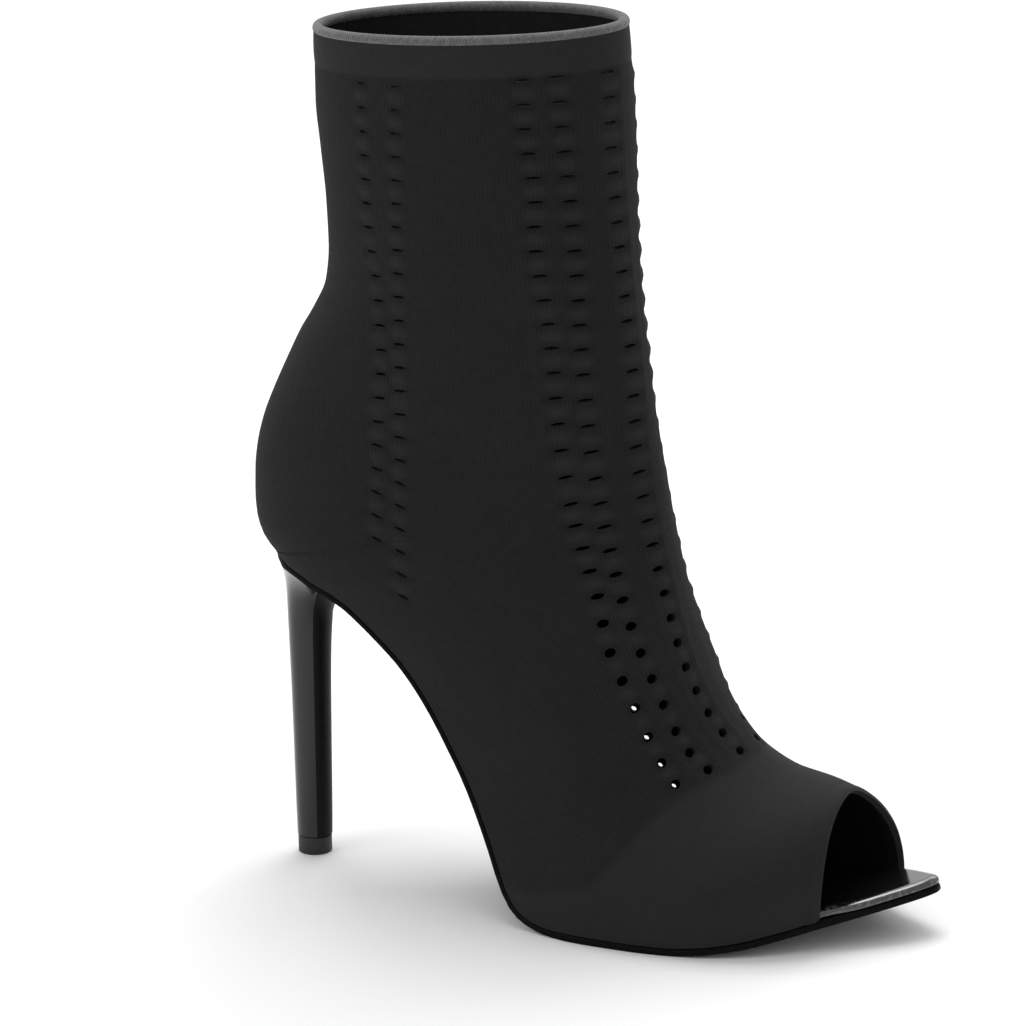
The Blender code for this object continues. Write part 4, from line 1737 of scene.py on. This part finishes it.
    def collar_roll(self) -> bpy.types.Object:
        """The folded edge of the collar as a soft bead.

        Returns:
            The finished object.
        """
        skin = self.skin
        i = skin.row_at(self.roll_drop)
        middle = skin.points[i] + skin.normal[i] * (self.hem_step - self.wall) / 2
        rim_up = skin.points[0] - skin.points[i]
        rim_up /= np.linalg.norm(rim_up, axis=1, keepdims=True)
        turn = np.linspace(0, math.tau, self.roll_corners + 1)
        out = skin.normal[i][:, None, :] * np.cos(turn)[None, :, None]
        rise = rim_up[:, None, :] * np.sin(turn)[None, :, None]
        points = middle[:, None, :] + (out + rise) * self.roll_radius + self.last.to_frame
        columns = skin.arc.shape[1] - 1
        bm, place = net(columns, self.roll_corners, points)
        map_net(bm, place, *np.meshgrid(skin.arc[i], turn * self.roll_radius, indexing="ij"))
        weld(bm)
        return clean_mesh("collar_roll", bm)


def apply_modifiers(obj: bpy.types.Object) -> None:
    """Writes the result of an object's modifiers into its mesh.

    Args:
        obj: The object, whose modifiers are then removed.
    """
    graph = bpy.context.evaluated_depsgraph_get()
    mesh = bpy.data.meshes.new_from_object(obj.evaluated_get(graph), depsgraph=graph)
    mesh.name = obj.name
    obj.modifiers.clear()
    obj.data = mesh


class SectionPoint(NamedTuple):
    """A point of a plate's section.

    Its fields are the distance in from the edge, the share of the way to the middle line, and the height as
    a share of the thickness.
    """

    inward: float
    to_middle: float
    height: float


@dataclass
class SolePlate:
    """A thin plate that follows the underside of the last, with a rounded edge."""

    last: Last
    stations: int = 120
    edge_steps: int = 8
    upright: float = 0.3
    thickness: float = 2.0 * MM
    end_reach: float = 6 * MM
    foot_inset: float = 0.25 * MM
    strips: tuple = (0.05, 0.25, 0.6, 1.0)
    weld_distance: float = 0.01 * MM
    sharp_deg: float = 60

    EDGE = "edge"

    @property
    def station_places(self) -> np.ndarray:
        """Spaces the stations, closer together towards the ends.

        Returns:
            X of each of them.
        """
        first, final = OUTLINE[0].along, OUTLINE[-1].along
        turn = np.linspace(0, math.pi, self.stations + 1)
        return self.last.shoe_length * (first + (final - first) * (1 - np.cos(turn)) / 2)

    @staticmethod
    def there_and_back(values: np.ndarray) -> np.ndarray:
        """Values of the stations along the outer side and back along the inner side."""
        return np.concatenate([values, values[-2:0:-1]])

    def outline(self, inset: np.ndarray | float) -> tuple[np.ndarray, np.ndarray, np.ndarray]:
        """The plate's edge all the way round, outer side first.

        Args:
            inset: Distance by which the edge is drawn in, one number or one for each station.

        Returns:
            For each point of the edge its place, its direction inwards, and its place on the middle line.
        """
        x = self.station_places
        outer, inner = self.last.outline_sides(x)
        edge = np.concatenate([np.stack([x, outer], 1), np.stack([x, inner], 1)[-2:0:-1]])
        if np.ndim(inset):
            inset = self.there_and_back(inset)[:, None]
        tangent = np.roll(edge, -1, axis=0) - np.roll(edge, 1, axis=0)
        tangent /= np.linalg.norm(tangent, axis=1, keepdims=True)
        inward = np.stack([-tangent[:, 1], tangent[:, 0]], 1)
        span = x[-1] - x[0]
        centre_x = x[0] + self.end_reach + (x - x[0]) / span * (span - 2 * self.end_reach)
        sides = self.last.outline_sides(centre_x)
        centre = np.stack([centre_x, (sides[0] + sides[1]) / 2], 1)
        return edge + inward * inset, inward, self.there_and_back(centre)

    def section(self, rounding: float) -> list[SectionPoint]:
        """Section from the middle line on the underside round the edge to the middle line on top.

        Args:
            rounding: How far the rounding of the edge reaches in.

        Returns:
            Its points.
        """
        base = self.foot_inset / 2 / self.thickness
        reach = 1 - base - self.upright
        rim = [SectionPoint(self.foot_inset, 0.0, 0.0), SectionPoint(0.0, 0.0, base)]
        for a in np.linspace(0, math.pi / 2, self.edge_steps):
            height = base + self.upright + reach * math.sin(a)
            rim.append(SectionPoint(rounding * (1 - math.cos(a)), 0.0, height))
        below = [SectionPoint(self.foot_inset, share, 0.0) for share in reversed(self.strips)]
        return below + rim + [SectionPoint(rounding, share, 1.0) for share in self.strips]

    def build(
        self,
        name: str,
        low: np.ndarray,
        high: np.ndarray,
        inset: np.ndarray | float,
        rounding: float,
    ) -> bpy.types.Object:
        """Builds the plate.

        Args:
            name: Name of the piece.
            low: Offset of its underside from the last, one for each station.
            high: Offset of its top.
            inset: Distance by which the edge is drawn in.
            rounding: How far the rounding of the edge reaches in.

        Returns:
            The finished object.
        """
        edge, inward, centre = self.outline(inset)
        low, high = self.there_and_back(low), self.there_and_back(high)
        section = self.section(rounding)
        rows = []
        for point in section:
            flat = edge + inward * point.inward
            flat = flat + (centre - flat) * point.to_middle
            off = low + (high - low) * point.height
            nx, nz = self.last.bottom_normal(flat[:, 0])
            z = self.last.bottom_height(flat[:, 0])
            rows.append(np.stack([flat[:, 0] + nx * off, flat[:, 1], z + nz * off], 1))
        points = np.array(rows) + self.last.to_frame
        points = np.concatenate([points, points[:, :1]], axis=1)
        bm, place = net(len(section) - 1, points.shape[1] - 1, points)
        at_edge = np.array([point.to_middle == 0.0 for point in section])
        store(bm, place, self.EDGE, np.broadcast_to(at_edge[:, None], points.shape[:2]))
        weld(bm, self.weld_distance)
        return clean_mesh(name, bm, self.sharp_deg)


@dataclass
class Bottom:
    """The footbed and the outsole."""

    last: Last
    upper_wall: float = 1.8 * MM
    ease: float = 0.6 * MM
    insole_thickness: float = 2.3 * MM
    widening_start: float = FOOT_SECTIONS[-1].outer + 0.010
    widening: float = 7 * MM
    footbed_rounding: float = 2.2 * MM
    sole_rounding: float = 0.5 * MM
    footbed_finish: FootbedFinish = field(default_factory=FootbedFinish)
    sole_finish: SoleFinish = field(default_factory=SoleFinish)

    def build(self) -> None:
        """Builds and dresses both plates."""
        hand_over(self.footbed(), self.footbed_finish.material(), Slot.FOOTBED, "insole")
        hand_over(self.outsole(), self.sole_finish.material(), Slot.SOLE, "outsole")

    def footbed(self) -> bpy.types.Object:
        """The footbed, drawn in inside the knit and as wide as the sole where it shows.

        Returns:
            The finished object.
        """
        plate = SolePlate(self.last, thickness=self.insole_thickness)
        x = plate.station_places
        start = self.widening_start * self.last.shoe_length
        inset = (self.upper_wall + self.ease) * (1 - smooth_step(x, start, start + self.widening))
        high = np.full(len(x), self.insole_thickness)
        return plate.build("footbed", np.zeros(len(x)), high, inset, self.footbed_rounding)

    def outsole(self) -> bpy.types.Object:
        """The thin sole, a little rounded at its edge.

        Returns:
            The finished object.
        """
        plate = SolePlate(self.last)
        x = plate.station_places
        high = np.full(len(x), -self.last.fit_gap)
        low = high - self.last.sole_thickness(x)
        return plate.build("sole", low, high, 0.0, self.sole_rounding)


@dataclass
class Heel:
    """The slim covered heel and its tip."""

    last: Last
    post_centre: float = 13.4 * MM
    post_diameter: float = 10.3 * MM
    tip_diameter: float = 9.9 * MM
    tip_height: float = 5.3 * MM
    tip_rounding: float = 0.35 * MM
    neck_height: float = 74.0 * MM
    seat_inset: float = 1.8 * MM
    cup_back: float = 8.5 * MM
    cup_breast: float = 28.5 * MM
    cup_fullness: float = 2.3
    around: int = 64
    post_rows: int = 26
    cup_rows: int = 30
    breast_reach: float = 0.48
    cover_sharp_deg: float = 50
    tip_sharp_deg: float = 60
    finish: HeelFinish = field(default_factory=HeelFinish)

    def build(self) -> None:
        """Builds and dresses the heel and its tip."""
        hand_over(self.cover(), None, Slot.HEEL, "heel")
        hand_over(self.tip(), TIP_FINISH.material(), Slot.TIP, "top_piece")

    def ring(self, back: float, breast: float, half_width: float, fullness: float) -> np.ndarray:
        """A rounded ring between the heel's back and its breast, seen from above.

        Args:
            back: X of its back.
            breast: X of its breast.
            half_width: Half of its width.
            fullness: 2 for an ellipse, more for fuller corners.

        Returns:
            X and Y of its points.
        """
        turn = np.linspace(0, math.tau, self.around + 1)
        c, s = np.cos(turn), np.sin(turn)
        x = (back + breast) / 2 + (breast - back) / 2 * np.sign(c) * np.abs(c) ** (2 / fullness)
        y = half_width * np.sign(s) * np.abs(s) ** (2 / fullness)
        return np.stack([x, y], 1)

    def cover(self) -> bpy.types.Object:
        """The glossy heel, from its tip up into the cup under the seat.

        Returns:
            The finished object.
        """
        radius = self.post_diameter / 2
        base = self.tip_height + self.last.fit_gap
        post_at = column(POST_SECTIONS, "height")
        rings = []
        for share in np.linspace(0, 1, self.post_rows + 1):
            behind, ahead, width = (
                float(blend(post_at, column(POST_SECTIONS, n), share)) * radius
                for n in ("behind", "ahead", "half_width")
            )
            flat = self.ring(self.post_centre - behind, self.post_centre + ahead, width, 2.0)
            z = np.full(len(flat), base + share * (self.neck_height - base))
            rings.append(np.column_stack([flat, z]))
        neck = POST_SECTIONS[-1]
        neck_back = self.post_centre - neck.behind * radius
        neck_breast = self.post_centre + neck.ahead * radius
        middle = (self.cup_back + self.cup_breast) / 2
        seat_width = float(self.last.outline_sides(middle)[1]) - self.seat_inset
        cup_at = column(CUP_SECTIONS, "height")
        for share in np.linspace(0, 1, self.cup_rows + 1)[1:]:
            behind, ahead, wide = (
                float(blend(cup_at, column(CUP_SECTIONS, n), share))
                for n in ("behind", "ahead", "half_width")
            )
            width = neck.half_width * radius
            flat = self.ring(
                neck_back + behind * (self.cup_back - neck_back),
                neck_breast + ahead * (self.cup_breast - neck_breast),
                width + wide * (seat_width - width),
                2.0 + wide * (self.cup_fullness - 2.0),
            )
            seat = self.last.seat_underside(flat[:, 0])
            z = self.neck_height + share * (seat - self.neck_height)
            rings.append(np.column_stack([flat, z]))
        points = np.array(rings) + self.last.to_frame
        bm, place = net(len(rings) - 1, self.around, points)
        # Painted shade: the faces that look forwards get the matt breast finish, which stands in for their
        # dark reflection
        facing = np.cos(np.linspace(0, math.tau, self.around + 1)) > self.breast_reach
        for face in bm.faces:
            face.material_index = int(all(facing[place[v.index][1]] for v in face.verts))
        bmesh.ops.remove_doubles(bm, verts=bm.verts, dist=WELD)
        rims = [edge for edge in bm.edges if edge.is_boundary]
        bmesh.ops.holes_fill(bm, edges=rims, sides=0)
        bmesh.ops.recalc_face_normals(bm, faces=bm.faces)
        cover = clean_mesh("heel_cover", bm, self.cover_sharp_deg)
        cover.data.materials.append(self.finish.material())
        cover.data.materials.append(BREAST_PAINTED_SHADE_FINISH.material())
        return cover

    def tip(self) -> bpy.types.Object:
        """The hard-wearing tip with its softened edges.

        Returns:
            The finished object.
        """
        bm = bmesh.new()
        radius = self.tip_diameter / 2
        bmesh.ops.create_cone(
            bm, cap_ends=True, segments=self.around, radius1=radius, radius2=radius, depth=self.tip_height
        )
        rims = [e for e in bm.edges if abs(e.verts[0].co.z - e.verts[1].co.z) < WELD]
        bmesh.ops.bevel(
            bm,
            geom=rims,
            offset=self.tip_rounding,
            segments=3,
            profile=0.5,
            affect="EDGES",
            material=-1,
        )
        x, y, _ = self.last.to_frame
        bmesh.ops.translate(bm, verts=bm.verts, vec=(x + self.post_centre, y, self.tip_height / 2))
        return clean_mesh("heel_tip", bm, self.tip_sharp_deg)


class Lamp(NamedTuple):
    """A square area light: its place, what it points at, its size and its power in watts."""

    name: str
    place: tuple
    aim: tuple
    size: float
    power: float


# A main one above and behind, one for the far floor, and a weak one from the front left
LAMPS = (
    Lamp("overhead", (-0.18, 0.40, 1.70), (0.0, 0.0, 0.1), 1.0, 17.0),
    Lamp("backdrop", (0.0, 1.9, 1.5), (0.0, 1.7, 0.0), 1.4, 10.0),
    Lamp("front_left", (-1.2, -1.5, 1.3), (0.0, -0.2, 0.0), 1.0, 8.0),
)


@dataclass
class Studio:
    """The plain pale floor, the soft light and the camera at the photograph's angle."""

    azimuth: float = math.radians(24)
    elevation: float = math.radians(16.4)
    roll: float = math.radians(-0.8)
    distance: float = 1.460
    target: tuple = (-0.0244, 0.0033, 0.1105)
    lens: float = 180.3
    sensor_width: float = 36
    clip_end: float = 50
    floor_size: float = 24.0
    floor_dark: tuple = (0.90, 0.90, 0.90)
    floor_light: tuple = (0.92, 0.92, 0.92)
    floor_roughness: float = 0.9
    surround: float = 0.68

    def build(self) -> None:
        """Builds the whole studio."""
        self.floor()
        self.world()
        for lamp in LAMPS:
            self.light(lamp)
        self.camera()
        bpy.context.scene.view_settings.view_transform = "Standard"

    def floor(self) -> None:
        """A wide white floor."""
        bm = bmesh.new()
        bmesh.ops.create_grid(bm, x_segments=2, y_segments=2, size=self.floor_size / 2)
        floor = clean_mesh("floor", bm)
        s = Shader("white_floor", Specular_IOR_Level=0.0, Roughness=self.floor_roughness)
        s.set("Base Color", s.colours(s.noise(3.0, 2.0), self.floor_dark, self.floor_light))
        floor.data.materials.append(s.material)

    def world(self) -> None:
        """An even white surround."""
        world = bpy.data.worlds.new("white_surround")
        world.use_nodes = True
        background = next(n for n in world.node_tree.nodes if n.type == "BACKGROUND")
        background.inputs["Color"].default_value = (1, 1, 1, 1)
        background.inputs["Strength"].default_value = self.surround
        bpy.context.scene.world = world

    @staticmethod
    def light(lamp: Lamp) -> None:
        """Hangs one light.

        Args:
            lamp: The light.
        """
        light = bpy.data.lights.new(lamp.name, "AREA")
        light.shape = "SQUARE"
        light.size = lamp.size
        light.energy = lamp.power
        obj = bpy.data.objects.new(lamp.name, light)
        obj.location = lamp.place
        aim = Vector(lamp.aim) - Vector(lamp.place)
        obj.rotation_euler = aim.to_track_quat("-Z", "Y").to_euler()
        bpy.context.scene.collection.objects.link(obj)

    def camera(self) -> None:
        """The camera, turned a little about its own axis as in the photograph."""
        a, e, r = self.azimuth, self.elevation, self.roll
        back = Vector((math.sin(a) * math.cos(e), -math.cos(a) * math.cos(e), math.sin(e)))
        right = Vector((math.cos(a), math.sin(a), 0))
        up = back.cross(right)
        across = right * math.cos(r) + up * math.sin(r)
        upright = up * math.cos(r) - right * math.sin(r)
        turn = Matrix((across, upright, back)).transposed().to_4x4()
        data = bpy.data.cameras.new("camera")
        data.lens = self.lens
        data.sensor_width = self.sensor_width
        data.clip_end = self.clip_end
        camera = bpy.data.objects.new("camera", data)
        place = Vector(self.target) + back * self.distance
        camera.matrix_world = Matrix.Translation(place) @ turn
        bpy.context.scene.collection.objects.link(camera)
        bpy.context.scene.camera = camera


def main() -> None:
    """Builds the dressed shoe and its studio."""
    logging.basicConfig(level=logging.INFO, format="%(message)s")
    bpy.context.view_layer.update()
    last = Last()
    skin = Skin(last)
    LOG.info("skin: %d rows, %d columns", *skin.arc.shape)
    for assembly in (KnitUpper(last, skin), Bottom(last), Heel(last), Studio()):
        assembly.build()
        LOG.info("%s is done", type(assembly).__name__)


if __name__ == "__main__":
    main()
